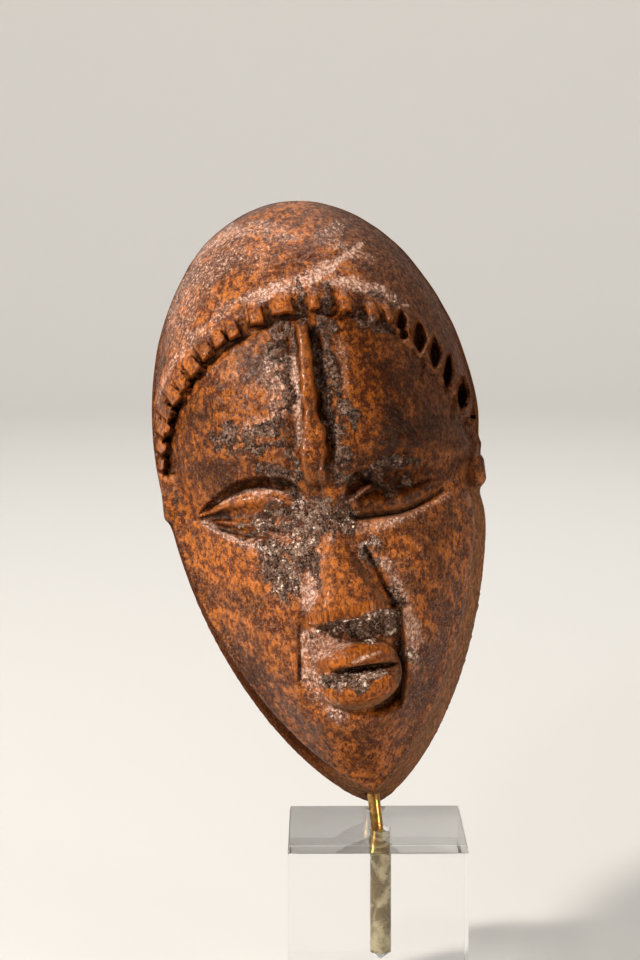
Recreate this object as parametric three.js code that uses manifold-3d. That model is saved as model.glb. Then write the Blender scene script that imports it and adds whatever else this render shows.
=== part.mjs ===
// A small carved mask of wood on a thin brass rod, which a drilled clear block holds up.
// Millimetres, +Z up. The origin is the middle of the block's underside, and the mask faces -Y.
// The mask is carved in its own axes: x across, y up the face and z out of the face,
// from the flat plane of its rim.

import * as THREE from "three";
import Module from "manifold-3d";
import { ConvexGeometry } from "three/addons/geometries/ConvexGeometry.js";
import { mergeVertices } from "three/addons/utils/BufferGeometryUtils.js";

// The clear block and its bore
const BLOCK_SIDE = 30;
const BLOCK_BEVEL = 0.4;
const BORE_X = 0.6;
const BORE_RADIUS = 1.75;
const BORE_DEPTH = 20;
const BORE_TIP = 1.2;

// The brass rod
const ROD_RADIUS = 1.05;
const ROD_AT_MOUTH_X = 0.2;
const ROD_IN_BLOCK = 14;
const ROD_IN_CHIN = 7;
const ROD_SHOWING = 5;
const ROD_BEND = 1.5;
const FIT_GAP = 0.3;

// How the mask is held
const MASK_LEAN = THREE.MathUtils.degToRad(12);
const MASK_ROLL = THREE.MathUtils.degToRad(6.5);
const ROD_ACROSS = 1.9;
const ROD_ABOVE_RIM = 5.2;

// The mask's outline at the rim
const HALF_WIDTH = 28.6;
const WIDEST = 8.4;
const CROWN = 51.3;
const CHIN = -55.6;
const JAW_TAPER = 1.4;
const CHIN_DRIFT = 2.2;

// The flared side wall below the ears, from the rim out to the front edge
const WALL_HEIGHT = 11;
const WALL_INSET = 0.7;
const WALL_INSET_CHIN = 2;
const WALL_INSET_RIGHT = 1.6;

// The lower face: its height along the middle, and how fast it falls to the sides
const FACE_PROFILE = [
  [51, 2], [30, 10], [10, 19], [-3, 21.5], [-12, 23], [-25, 23.2], [-38, 21.4], [-48, 17], [-56, 11],
];
const FACE_ROUNDNESS = 2.4;
const FACE_EDGE_POWER = 14;

// The dome of the head and the sunk forehead
const DOME_X = -0.5;
const DOME_HALF_WIDTH = 29;
const DOME_HEIGHT = 27.5;
const DOME_TURN = 0.025;
const FOREHEAD_SUNK = 1.4;
const BROW_OVERLAP = 2;
const BROW = [
  [-32, -4.6], [-22, -4.2], [-19, -2.7], [-14.4, -0.4], [-10, 0], [-6, -1.2], [-3, -4],
  [2.5, -4], [5, -2.2], [9, -0.9], [17.4, 0.4], [27, 1.8], [32, 1.8],
];

// The notched hair band, along an arc round the forehead
const BAND_MIDDLE = [-1.2, 1.6];
const BAND_RADII = [29, 25.2];
const BAND_START = THREE.MathUtils.degToRad(174);
const BAND_END = THREE.MathUtils.degToRad(14);
const BAND_LENGTH = 4.4;
const TEETH = 23;
const TOOTH_SPREAD = 0.2;
const NOTCH_WIDTH = 2;
const NOTCH_DEPTH = 1.5;

// The ridge down the forehead
const RIDGE_TOP = 24.6;
const RIDGE_BOTTOM = -2;
const RIDGE_LEAN = 1.9;
const RIDGE_TOP_WIDTH = 2.7;
const RIDGE_BOTTOM_WIDTH = 4.8;
const RIDGE_RISE = 1.6;

// The ears: short lugs at the sides
const LUG_BOTTOM = -3.6;
const LUG_TOP = 2.4;
const LUG_REACH = 28.3;
const LUG_FRONT = 11;
const LUG_BACK = 0.6;

// The nose
const NOSE_ROOT = -1;
const NOSE_TIP = -20.2;
const NOSE_BASE = -23.4;
const NOSE_LEFT = -6.5;
const NOSE_RIGHT = 7.2;
const NOSE_TIP_HEIGHT = 29.6;
const NOSE_WING_HEIGHT = 26;
const NOSE_ROOT_HEIGHT = 23.8;
const NOSE_ROOT_HALF = 1.1;
const NOSE_TIP_HALF = 2.5;

// The sunk field round the mouth, and the lips
const FIELD_LEFT = -7.2;
const FIELD_RIGHT = 10;
const FIELD_TOP = -22.6;
const FIELD_BOTTOM = -39.5;
const FIELD_FLOOR_TOP = 20.6;
const FIELD_FLOOR_BOTTOM = 21.4;
const MUZZLE = { at: [2.7, -33.4, 19.6], radii: [7.8, 6.4, 5.2] };
const UPPER_LIP = { at: [2.4, -30.7, 21.4], radii: [6.8, 3.1, 4.4] };
const LOWER_LIP = { at: [3, -36, 20.9], radii: [6.2, 3.2, 4.2] };
const MOUTH_SLIT = { at: [2.5, -33.3, 26], radii: [5.8, 0.9, 3.6] };

// The eyes, each in a shallow socket
const EYES = [
  { x: -12.8, upper: -3.3, lower: -6.2, turn: 0, side: -1 },
  { x: 12.6, upper: -4.8, lower: -7.8, turn: 0.17, side: 1 },
];
const EYE_PLANE = 19.4;
const EYE_SLANT = 0.36;
const SOCKET_RADII = [10.4, 5.6, 3];
const UPPER_LID_RADII = [8.6, 2.9, 2.9];
const LOWER_LID_RADII = [7.4, 1.8, 1.9];
const EYE_SLIT_RADII = [7.6, 0.45, 3.2];

// The hollow back
const HOLLOW = { halfWidth: 23.2, crown: 45.8, chin: -43.5 };
const HOLLOW_DEPTHS = [[-2, 1], [2, 0.99], [6, 0.93], [10, 0.8], [13, 0.6], [14.6, 0.36], [15, 0.12]];

// How finely round shapes are divided
const OUTLINE_STEPS = 60;
const FACE_RINGS = 9;
const DOME_STEPS = 44;
const ROUND_STEPS = 22;
const ROD_SIDES = 16;
const ROD_STEPS = 12;
const THROUGH = 45;

const wasm = await Module();
wasm.setup();

// A closed geometry as a solid that can be joined and cut.
function solid(geometry) {
  const bare = geometry.clone();
  bare.deleteAttribute("normal");
  bare.deleteAttribute("uv");
  const merged = mergeVertices(bare, 1e-4);
  const mesh = new wasm.Mesh({
    numProp: 3,
    vertProperties: merged.getAttribute("position").array,
    triVerts: new Uint32Array(merged.index.array),
  });
  return new wasm.Manifold(mesh);
}

function geometryOf(shape) {
  const mesh = shape.getMesh();
  const geometry = new THREE.BufferGeometry();
  geometry.setAttribute("position", new THREE.BufferAttribute(mesh.vertProperties, 3));
  geometry.setIndex(new THREE.BufferAttribute(mesh.triVerts, 1));
  geometry.computeVertexNormals();
  return geometry;
}

// A closed body through rings of points, each seen turning the same way from its far end.
function loft(rings) {
  const count = rings[0].length;
  const points = rings.flat();
  const faces = [];
  for (let ring = 0; ring + 1 < rings.length; ring += 1) {
    for (let step = 0; step < count; step += 1) {
      const next = (step + 1) % count;
      const a = ring * count + step;
      const b = ring * count + next;
      faces.push(a, b, b + count, a, b + count, a + count);
    }
  }
  for (const [ring, flipped] of [[0, true], [rings.length - 1, false]]) {
    const middle = points.length;
    const sum = rings[ring].reduce((total, point) => total.add(point), new THREE.Vector3());
    points.push(sum.divideScalar(count));
    for (let step = 0; step < count; step += 1) {
      const a = ring * count + step;
      const b = ring * count + ((step + 1) % count);
      faces.push(middle, flipped ? b : a, flipped ? a : b);
    }
  }
  const geometry = new THREE.BufferGeometry().setFromPoints(points);
  geometry.setIndex(faces);
  return geometry;
}

// The height at y on a profile of [y, height] points that runs downwards, smooth between them.
function heightOn(profile, y) {
  const points = profile.map(([along, height]) => new THREE.Vector2(along, height));
  const last = points.length - 2;
  const found = points.findIndex((point, index) => index > 0 && y >= point.x);
  const index = found < 0 ? last : Math.min(found - 1, last);
  const before = points[Math.max(index - 1, 0)];
  const from = points[index];
  const to = points[index + 1];
  const after = points[Math.min(index + 2, points.length - 1)];
  const slopeFrom = (to.y - before.y) / (to.x - before.x);
  const slopeTo = (after.y - from.y) / (after.x - from.x);
  const span = to.x - from.x;
  const t = THREE.MathUtils.clamp((y - from.x) / span, 0, 1);
  const rest = 1 - t;
  return (
    from.y * (1 + 2 * t) * rest * rest +
    to.y * t * t * (3 - 2 * t) +
    span * (slopeFrom * t * rest * rest - slopeTo * t * t * rest)
  );
}

// A point of an egg-shaped outline: round above, tapering to the chin below.
function eggPoint(angle, { halfWidth, crown, chin }) {
  const rise = Math.sin(angle);
  const power = rise < 0 ? JAW_TAPER : 1;
  const across = Math.sign(Math.cos(angle)) * Math.abs(Math.cos(angle)) ** power;
  const drift = CHIN_DRIFT * Math.max(-rise, 0) ** 1.5;
  const reach = rise < 0 ? WIDEST - chin : crown - WIDEST;
  return new THREE.Vector2(halfWidth * across + drift, WIDEST + reach * rise);
}

function outlineAngles() {
  return Array.from({ length: OUTLINE_STEPS }, (_, step) => (step / OUTLINE_STEPS) * Math.PI * 2);
}

// An ellipsoid, turned in the face's plane and slanted about the upright axis.
function ellipsoid(at, radii, { turn = 0, slant = 0, steps = ROUND_STEPS } = {}) {
  const sphere = new THREE.SphereGeometry(1, steps, Math.round(steps / 2));
  sphere.scale(...radii);
  sphere.rotateZ(turn);
  sphere.rotateY(slant);
  sphere.translate(...at);
  return solid(sphere);
}

// A flat outline pushed through the whole mask, along z.
function through(points) {
  const shape = new THREE.Shape(points);
  const pushed = new THREE.ExtrudeGeometry(shape, { depth: THROUGH, bevelEnabled: false });
  pushed.translate(0, 0, -1);
  return solid(pushed);
}

// The outline's half-width at height y.
function halfWidthAt(y, { halfWidth, crown, chin }) {
  const rise = (y - WIDEST) / (y < WIDEST ? WIDEST - chin : crown - WIDEST);
  return halfWidth * Math.sqrt(Math.max(1 - rise ** 2, 0)) ** (y < WIDEST ? JAW_TAPER : 1);
}

// The face below the brow, with its crisp front edge and flared wall.
function makeLowerFace() {
  const rim = { halfWidth: HALF_WIDTH, crown: CROWN - 1, chin: CHIN };
  const middle = new THREE.Vector2(0, WIDEST);
  const ringAt = (fraction, heightAt) =>
    outlineAngles().map((angle) => {
      const outer = eggPoint(angle, rim);
      const low = Math.max(-Math.sin(angle), 0);
      const right = Math.max(Math.cos(angle), 0);
      const inset = WALL_INSET + WALL_INSET_CHIN * low ** 2 + WALL_INSET_RIGHT * right;
      const reach = outer.clone().sub(middle);
      const edge = fraction > 1 ? 1 : 1 - inset / reach.length();
      const spot = middle.clone().addScaledVector(reach, edge * Math.min(fraction, 1));
      return new THREE.Vector3(spot.x, spot.y, heightAt(spot, angle));
    });
  const wallAt = (angle) => WALL_HEIGHT * (Math.sin(angle) > 0 ? 1 - 0.8 * Math.sin(angle) : 1);
  const rings = [ringAt(2, () => 0)];
  for (let ring = FACE_RINGS; ring > 0; ring -= 1) {
    const fraction = ring / FACE_RINGS;
    const heightAt = (spot, angle) => {
      const sideways = Math.min(Math.abs(spot.x) / (halfWidthAt(spot.y, rim) - WALL_INSET_RIGHT), 1);
      const rise = (1 - sideways ** FACE_ROUNDNESS) * (1 - fraction ** FACE_EDGE_POWER);
      return wallAt(angle) + (heightOn(FACE_PROFILE, spot.y) - wallAt(angle)) * rise;
    };
    rings.push(ringAt(fraction, heightAt));
  }
  return solid(loft(rings));
}

// Everything below the brow line, moved up by a distance.
function belowBrow(raised) {
  const line = new THREE.SplineCurve(BROW.map(([x, y]) => new THREE.Vector2(x, y + raised))).getPoints(48);
  const [left] = line;
  const right = line[line.length - 1];
  return through([...line, new THREE.Vector2(right.x, CHIN - 5), new THREE.Vector2(left.x, CHIN - 5)]);
}

// The dome of the head with the sunk forehead inside the hair band's arc, cut off along the brow.
function makeHead() {
  const middle = [DOME_X, WIDEST, 0];
  const radii = [DOME_HALF_WIDTH, CROWN - WIDEST, DOME_HEIGHT];
  const shape = { turn: DOME_TURN, steps: DOME_STEPS };
  const dome = ellipsoid(middle, radii, shape);
  const forehead = ellipsoid(middle, radii.map((radius) => radius - FOREHEAD_SUNK), shape);
  const back = new THREE.BoxGeometry(2 * CROWN, 3 * CROWN, THROUGH);
  back.translate(0, 0, -THROUGH / 2);
  return dome.subtract(underBand()).add(forehead).subtract(belowBrow(0)).subtract(solid(back));
}

// The forehead's region: under the band's arc, and out past both sides below its two ends.
function underBand() {
  const steps = OUTLINE_STEPS / 2;
  const arc = Array.from({ length: steps + 1 }, (_, step) =>
    bandPoint(THREE.MathUtils.lerp(BAND_END, BAND_START, step / steps), 0),
  );
  const aside = 2 * HALF_WIDTH;
  const corners = [[-aside, arc[steps].y], [-aside, -aside], [aside, -aside], [aside, arc[0].y]];
  return through([...arc, ...corners.map(([x, y]) => new THREE.Vector2(x, y))]);
}

// A point on the band's arc, or outside it by a distance.
function bandPoint(angle, outside) {
  const x = BAND_MIDDLE[0] + (BAND_RADII[0] + outside) * Math.cos(angle);
  const y = BAND_MIDDLE[1] + (BAND_RADII[1] + outside) * Math.sin(angle);
  return new THREE.Vector2(x, y);
}

function domeHeight(x, y, sunk = 0) {
  const across = (x - DOME_X + DOME_TURN * (y - WIDEST)) / (DOME_HALF_WIDTH - sunk);
  const up = (y - WIDEST) / (CROWN - WIDEST - sunk);
  return (DOME_HEIGHT - sunk) * Math.sqrt(Math.max(1 - across ** 2 - up ** 2, 0));
}

// The notches between the band's teeth: a pointed gouge mark in the dome at each gap.
function makeNotches() {
  const marks = [];
  for (let gap = 1; gap < TEETH; gap += 1) {
    const share = gap / TEETH;
    const eased = share - (TOOTH_SPREAD * Math.sin(2 * Math.PI * share)) / (2 * Math.PI);
    const angle = BAND_START + (BAND_END - BAND_START) * eased;
    const spot = bandPoint(angle, BAND_LENGTH * 0.35);
    const height = domeHeight(spot.x, spot.y);
    const normal = new THREE.Vector3(
      spot.x / DOME_HALF_WIDTH ** 2,
      (spot.y - WIDEST) / (CROWN - WIDEST) ** 2,
      height / DOME_HEIGHT ** 2,
    ).normalize();
    const outward = new THREE.Vector3(Math.cos(angle), Math.sin(angle), 0);
    outward.addScaledVector(normal, -outward.dot(normal)).normalize();
    const along = new THREE.Vector3().crossVectors(outward, normal);
    const mark = new THREE.OctahedronGeometry(1);
    mark.scale(NOTCH_WIDTH / 2, BAND_LENGTH * 0.72, NOTCH_DEPTH);
    mark.applyMatrix4(new THREE.Matrix4().makeBasis(along, outward, normal));
    mark.translate(spot.x, spot.y, height);
    marks.push(solid(mark));
  }
  return wasm.Manifold.union(marks);
}

// The ridge from the band down to the brow, wider at its foot.
function makeRidge() {
  const stations = 12;
  const rings = [];
  for (let station = 0; station <= stations; station += 1) {
    const share = station / stations;
    const y = THREE.MathUtils.lerp(RIDGE_BOTTOM, RIDGE_TOP, share);
    const half = THREE.MathUtils.lerp(RIDGE_BOTTOM_WIDTH, RIDGE_TOP_WIDTH, share) / 2;
    const x = -RIDGE_LEAN * (1 - share);
    const floor = domeHeight(x, y, FOREHEAD_SUNK);
    const section = [[1, -3], [1, 0.6], [0.6, 1], [-0.6, 1], [-1, 0.6], [-1, -3]];
    rings.push(
      section.map(([side, rise]) => new THREE.Vector3(x + side * half, y, floor + rise * RIDGE_RISE)),
    );
  }
  return solid(loft(rings.reverse()));
}

// The nose: a wedge with two flat front facets and a cut-off lower end.
function makeNose() {
  const middle = (NOSE_LEFT + NOSE_RIGHT) / 2;
  const back = EYE_PLANE;
  const corners = [];
  for (const [side, edge] of [[-1, NOSE_LEFT], [1, NOSE_RIGHT]]) {
    corners.push(
      [side * NOSE_ROOT_HALF, NOSE_ROOT, NOSE_ROOT_HEIGHT],
      [side * NOSE_ROOT_HALF * 2, NOSE_ROOT, back],
      [middle + side * NOSE_TIP_HALF, NOSE_TIP, NOSE_TIP_HEIGHT],
      [middle + side * NOSE_TIP_HALF, NOSE_BASE - 0.4, NOSE_TIP_HEIGHT - 3],
      [edge, NOSE_TIP - 0.6, NOSE_WING_HEIGHT],
      [edge, NOSE_BASE, NOSE_WING_HEIGHT - 3],
      [edge, NOSE_BASE, back],
      [edge, NOSE_TIP, back],
    );
  }
  return solid(new ConvexGeometry(corners.map((corner) => new THREE.Vector3(...corner))));
}

// The sunk field below the nose, open to the front.
function makeMouthField() {
  const rings = [FIELD_LEFT, FIELD_RIGHT].map((x) => [
    new THREE.Vector3(x, FIELD_TOP, FIELD_FLOOR_TOP),
    new THREE.Vector3(x, FIELD_BOTTOM, FIELD_FLOOR_BOTTOM),
    new THREE.Vector3(x, FIELD_BOTTOM, THROUGH),
    new THREE.Vector3(x, FIELD_TOP, THROUGH),
  ]);
  return solid(loft(rings.reverse()));
}

function makeEyePart(eye, y, radii, forward) {
  const at = [eye.x, y, EYE_PLANE + forward];
  return ellipsoid(at, radii, { turn: eye.turn, slant: EYE_SLANT * eye.side });
}

// An ear lug, a plain block that the side wall carries.
function makeLug(side) {
  const inner = HALF_WIDTH - 4;
  const lug = new THREE.BoxGeometry(LUG_REACH - inner, LUG_TOP - LUG_BOTTOM, LUG_FRONT - LUG_BACK);
  lug.translate(side * (LUG_REACH + inner) * 0.5, (LUG_TOP + LUG_BOTTOM) / 2, (LUG_FRONT + LUG_BACK) / 2);
  return solid(lug);
}

function makeHollow() {
  const rings = HOLLOW_DEPTHS.map(([depth, share]) =>
    outlineAngles().map((angle) => {
      const spot = eggPoint(angle, HOLLOW);
      return new THREE.Vector3(spot.x * share, spot.y * share, depth);
    }),
  );
  return solid(loft(rings));
}

function makeRodHole() {
  const length = ROD_IN_CHIN + 6;
  const hole = new THREE.CylinderGeometry(ROD_RADIUS + FIT_GAP, ROD_RADIUS + FIT_GAP, length, ROD_SIDES);
  const top = CHIN + ROD_IN_CHIN + FIT_GAP + 1;
  hole.translate(ROD_ACROSS, top - length / 2, ROD_ABOVE_RIM);
  return solid(hole);
}

function makeMask() {
  let body = makeLowerFace().intersect(belowBrow(BROW_OVERLAP));
  for (const eye of EYES) {
    body = body.subtract(makeEyePart(eye, (eye.upper + eye.lower) / 2, SOCKET_RADII, 2.2));
  }
  body = body.subtract(makeMouthField());
  for (const mound of [MUZZLE, UPPER_LIP, LOWER_LIP]) {
    body = body.add(ellipsoid(mound.at, mound.radii));
  }
  body = body.subtract(ellipsoid(MOUTH_SLIT.at, MOUTH_SLIT.radii));
  for (const eye of EYES) {
    body = body.add(makeEyePart(eye, eye.upper, UPPER_LID_RADII, 0));
    body = body.add(makeEyePart(eye, eye.lower, LOWER_LID_RADII, 0));
    body = body.subtract(makeEyePart(eye, eye.upper - 1.7, EYE_SLIT_RADII, 3));
  }
  body = body.add(makeHead().subtract(makeNotches())).add(makeRidge()).add(makeNose());
  body = body.add(makeLug(-1)).add(makeLug(1));
  return geometryOf(body.subtract(makeHollow()).subtract(makeRodHole()));
}

// The rod stands in the bore, leans on its wall at the mouth and runs on along the mask's axis.
function makeRod(toWorld) {
  const onAxis = (y) => toWorld(new THREE.Vector3(ROD_ACROSS, y, ROD_ABOVE_RIM));
  const mouth = new THREE.Vector3(ROD_AT_MOUTH_X, 0, BLOCK_SIDE);
  const foot = new THREE.Vector3(BORE_X, 0, BLOCK_SIDE - ROD_IN_BLOCK);
  const top = onAxis(CHIN + 1 + ROD_IN_CHIN);
  const below = mouth.clone().lerp(foot, ROD_BEND / ROD_IN_BLOCK);
  const above = mouth.clone().addScaledVector(top.clone().sub(mouth).normalize(), ROD_BEND);
  const path = new THREE.CurvePath();
  path.add(new THREE.LineCurve3(foot, below));
  path.add(new THREE.QuadraticBezierCurve3(below, mouth, above));
  path.add(new THREE.LineCurve3(above, top));
  const section = new THREE.Shape().absarc(0, 0, ROD_RADIUS, 0, Math.PI * 2);
  return new THREE.ExtrudeGeometry(section, {
    steps: ROD_STEPS,
    curveSegments: ROD_SIDES / 2,
    extrudePath: path,
  });
}

function makeBlock() {
  const half = BLOCK_SIDE / 2;
  const corners = [];
  for (const x of [-1, 1]) {
    for (const y of [-1, 1]) {
      for (const z of [-1, 1]) {
        for (const flat of [0, 1, 2]) {
          const corner = [x, y, z].map((side, axis) => side * (half - (axis === flat ? 0 : BLOCK_BEVEL)));
          corners.push(new THREE.Vector3(...corner));
        }
      }
    }
  }
  const cube = new ConvexGeometry(corners);
  cube.translate(0, 0, half);
  const boreProfile = [
    [0, -BORE_DEPTH - BORE_TIP],
    [BORE_RADIUS, -BORE_DEPTH],
    [BORE_RADIUS, 2],
    [0, 2],
  ];
  const bore = new THREE.LatheGeometry(boreProfile.map(([x, y]) => new THREE.Vector2(x, y)), 32);
  bore.rotateX(Math.PI / 2);
  bore.translate(BORE_X, 0, BLOCK_SIDE);
  return geometryOf(solid(cube).subtract(solid(bore)));
}

// Nested groups: the mask stands upright facing -Y, rolls sideways, then leans back.
const upright = new THREE.Group();
upright.rotation.x = Math.PI / 2;
const rolled = new THREE.Group();
rolled.rotation.y = -MASK_ROLL;
rolled.add(upright);
const held = new THREE.Group();
held.rotation.x = -MASK_LEAN;
held.add(rolled);

// The mask's place follows from the rod: it leaves the bore's mouth along the mask's own axis.
held.updateMatrixWorld(true);
const rodStart = new THREE.Vector3(ROD_ACROSS, CHIN + 1 - ROD_SHOWING, ROD_ABOVE_RIM);
held.position.set(ROD_AT_MOUTH_X, 0, BLOCK_SIDE).sub(rodStart.applyMatrix4(upright.matrixWorld));
held.updateMatrixWorld(true);

const wood = new THREE.MeshStandardMaterial({ color: 0x9a5426, roughness: 0.45, metalness: 0 });
const brass = new THREE.MeshStandardMaterial({ color: 0x8a6a30, roughness: 0.35, metalness: 1 });
const clear = new THREE.MeshStandardMaterial({
  color: 0xe8ecec,
  roughness: 0.05,
  metalness: 0,
  transparent: true,
  opacity: 0.35,
});

function named(name, geometry, material) {
  const mesh = new THREE.Mesh(geometry, material);
  mesh.name = name;
  return mesh;
}

const group = new THREE.Group();
upright.add(named("mask", makeMask(), wood));
group.add(held);
group.add(named("rod", makeRod((point) => point.applyMatrix4(upright.matrixWorld)), brass));
group.add(named("base_block", makeBlock(), clear));

export default group;
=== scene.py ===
"""The looks of a small carved mask on a brass rod in a clear block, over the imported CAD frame.

Shapes are worked out in millimetres in the mask's own axes: x across, y up the face and z out of
the face from the rim's plane. The mask's object carries those axes into the shared frame.
"""

import math
from itertools import combinations, product

import bpy
import numpy as np
from mathutils import Matrix, Vector


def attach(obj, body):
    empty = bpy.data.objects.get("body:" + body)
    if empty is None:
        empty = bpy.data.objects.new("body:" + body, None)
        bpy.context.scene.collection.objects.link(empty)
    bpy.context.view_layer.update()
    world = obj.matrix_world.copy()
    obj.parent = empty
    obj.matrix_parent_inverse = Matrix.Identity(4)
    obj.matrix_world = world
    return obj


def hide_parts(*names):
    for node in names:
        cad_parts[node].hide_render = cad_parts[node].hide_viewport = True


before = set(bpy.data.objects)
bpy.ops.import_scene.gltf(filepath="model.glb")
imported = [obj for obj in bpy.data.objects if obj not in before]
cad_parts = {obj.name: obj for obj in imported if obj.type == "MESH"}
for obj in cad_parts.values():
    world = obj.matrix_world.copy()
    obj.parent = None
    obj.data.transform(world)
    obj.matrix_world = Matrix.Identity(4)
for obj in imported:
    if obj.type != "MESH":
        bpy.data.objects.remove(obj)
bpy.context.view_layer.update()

MM = 0.001

# The clear block and its bore
BLOCK_SIDE = 30.0
BLOCK_BEVEL = 0.35
BLOCK_DIVISIONS = 16
BORE_X = 0.6
BORE_RADIUS = 1.75
BORE_DEPTH = 20.0
BORE_TIP = 1.2
BORE_STEPS = ((1.12, 0), (1, 0.16), (1, BORE_DEPTH), (0.05, BORE_DEPTH + BORE_TIP))

# The glue in the bore: its reach into the acrylic, its lift off the tip, its top's depth and its rings
GLUE_OVERLAP = 0.02
GLUE_LIFT = 0.05
GLUE_TOP = 0.55
GLUE_LEVELS = 36

# The brass rod
ROD_RADIUS = 1.05
ROD_AT_MOUTH_X = 0.2
ROD_IN_BLOCK = 14.0
ROD_IN_CHIN = 7.0
ROD_SHOWING = 5.0
ROD_BEND = 1.5
ROD_CHAMFER = 0.15
FIT_GAP = 0.3

# How the mask is held
MASK_LEAN = math.radians(12)
MASK_ROLL = math.radians(6.5)
ROD_ACROSS = 1.9
ROD_ABOVE_RIM = 5.2

# The mask's outline at the rim, and the flared wall below the ears
HALF_WIDTH = 28.6
WIDEST = 8.4
CROWN = 51.3
RIM_CROWN = 50.3
CHIN = -55.6
CHIN_AT_ROD = -54.6
JAW_TAPER = 1.4
CHIN_DRIFT = 2.2
WALL_HEIGHT = 11.0
WALL_INSET = 0.7
WALL_INSET_CHIN = 2.0
WALL_INSET_RIGHT = 2.3

# The lower face along its middle, from the forehead down, and how it falls to the sides
FACE_PROFILE = [
    (51, 2), (30, 10), (10, 19), (-3, 21.5), (-12, 23), (-25, 23.2), (-38, 21.4), (-48, 17), (-56, 11),
]
FACE_ROUNDNESS = 2.4
FACE_EDGE_POWER = 14

# The dome of the head, and how deep the forehead is sunk in it
DOME_X = -0.35
DOME_HALF_WIDTH = 28.85
DOME_HEIGHT = 27.5
DOME_TURN = 0.025
FOREHEAD_SUNK = 1.4

# The brow: the forehead's lower edge
BROW = [
    (-33, -4.4), (-26, -4.3), (-23.4, -4), (-22, -3), (-20.4, -1.8), (-18.8, -0.8), (-17, 0.1),
    (-15.5, 0.8), (-13.4, 1.2), (-11.2, 1.2), (-8.9, 1), (-6.2, 0.2), (-4.4, -1.6), (-3, -4), (2.3, -4),
    (3.4, -1.2), (4.8, 0.4), (6.4, 1), (9.1, 1.3), (12.6, 1.7), (17.8, 2.1), (22.3, 2.4), (26.8, 3.3),
    (33, 3.6),
]

# The hair band: its lower edge from ear to ear, its teeth as (x, y, length, width, lean, rise), and
# the dark notches at the right as (x, y, length, width, lean)
BAND_EDGE = [
    (-29.5, 1), (-27.6, 5.4), (-26.6, 8.9), (-25.4, 12.2), (-24.2, 14.9), (-22.2, 17.4), (-19.8, 19.7),
    (-16.7, 22), (-13.4, 23.9), (-10.6, 25.2), (-7.2, 26.2), (-3.6, 26.9), (1.1, 27.2), (6.5, 26.8),
    (10.5, 25.6), (13.4, 24), (15.6, 21.6), (18.2, 18.5), (20.7, 15.6), (22.8, 12.2), (24.8, 8.6),
    (27.5, 3.4),
]
BAND_LENGTH = 3.2
TEETH = [
    (-28, 6.8, 2.6, 2.4, 140, 0.2), (-27.5, 9.6, 2.8, 2.6, 136, 0.25), (-26.8, 12.4, 3.2, 2.8, 132, 0.35),
    (-25.8, 15.2, 3.6, 2.7, 128, 0.5), (-24.4, 17.7, 4, 2.8, 122, 0.6), (-22.6, 19.7, 4.2, 2.7, 122, 0.6),
    (-20.6, 21.9, 4.5, 3.1, 122, 0.7), (-18.1, 24.2, 4.5, 3, 117, 0.7), (-15.5, 25.9, 4.4, 2.8, 112, 0.7),
    (-12.9, 26.8, 4.6, 2.5, 105, 0.7), (-8.6, 28.7, 5, 2.9, 95, 0.9), (-4.1, 29.9, 4.8, 4.4, 92, 1),
    (1.4, 29.6, 3.8, 2, 90, 0.8), (6.6, 29, 4, 2, 92, 0.8), (11, 26.9, 3.8, 2.1, 100, 0.7),
    (13.6, 26.4, 3.4, 1.6, 100, 0.5),
]
NOTCHES = [
    (15.7, 24.9, 4.4, 2, 86), (18.4, 22.1, 6.1, 2.7, 87), (20.8, 19.3, 6, 2.3, 84),
    (22.7, 16, 6.9, 1.7, 78), (24.9, 12.4, 6, 2, 80), (26.3, 8.6, 3, 0.5, 80),
]
NOTCH_HOLE = (15.9, 22.6, 0.9)
TOOTH_FOOT = 0.35
NOTCH_DEPTH = 2.3

# The ridge down the forehead: places along it with half its width there
RIDGE = [
    (-1.1, 25.6, 1), (-1.2, 24, 1.05), (-1, 20, 1.05), (-1.25, 16, 1.15), (-1.35, 12, 1.15),
    (-1.4, 10.6, 1), (-1.1, 8, 1.75), (-1.4, 6, 1.95), (-1.7, 4, 2.1), (-1.9, 2, 1.9), (-1.6, -0.5, 1.7),
]
RIDGE_RISE = 1.7
# The grooves beside the ridge, as (side, depth, distance, width)
RIDGE_GROOVES = ((1, 1.4, 1.0, 0.9), (-1, 0.6, 1.3, 1.1))

# The left eye, as curves from the cheek's edge up to the brow
LEFT_CHEEK_EDGE = [
    (-25, -4.2), (-23.4, -4.2), (-21.4, -5), (-19.6, -6.5), (-18, -7.8), (-15.5, -9.2), (-13.1, -10.1),
    (-10.5, -10.5), (-7.5, -10.4), (-4.5, -9.4),
]
LEFT_UNDER_LID = [
    (-25, -4.1), (-22.5, -4.1), (-20.2, -4.8), (-17.8, -6.1), (-15.3, -7.1), (-12.8, -7.8), (-10.3, -8.3),
    (-7.5, -8.3), (-4.5, -7.6),
]
LEFT_SLIT = [(-25, -4), (-22.5, -3.8), (-19.6, -3.9), (-15, -4.3), (-9.9, -4.9), (-4.5, -5.2)]
LEFT_LID_TOP = [
    (-25, -3.6), (-22.5, -3.5), (-20.4, -2.9), (-17.8, -1.5), (-14.8, -0.4), (-11.9, -0.1), (-9.1, -0.7),
    (-6.3, -2.2), (-4.5, -4.2),
]

# The right eye
RIGHT_CHEEK_EDGE = [
    (1.5, -7.6), (3.9, -7.9), (7.3, -8), (11.5, -7.9), (14.1, -7.4), (15.9, -6.8), (17.7, -6), (19.6, -5.2),
    (22.4, -3.8), (27, -2),
]
RIGHT_SLIT = [
    (1.5, -7), (4, -7.2), (7.3, -7.2), (11.6, -7), (14.2, -6.3), (17, -5.1), (18.9, -4.1), (20.7, -3.1),
    (23.5, -1.8), (27, -0.6),
]

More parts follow.
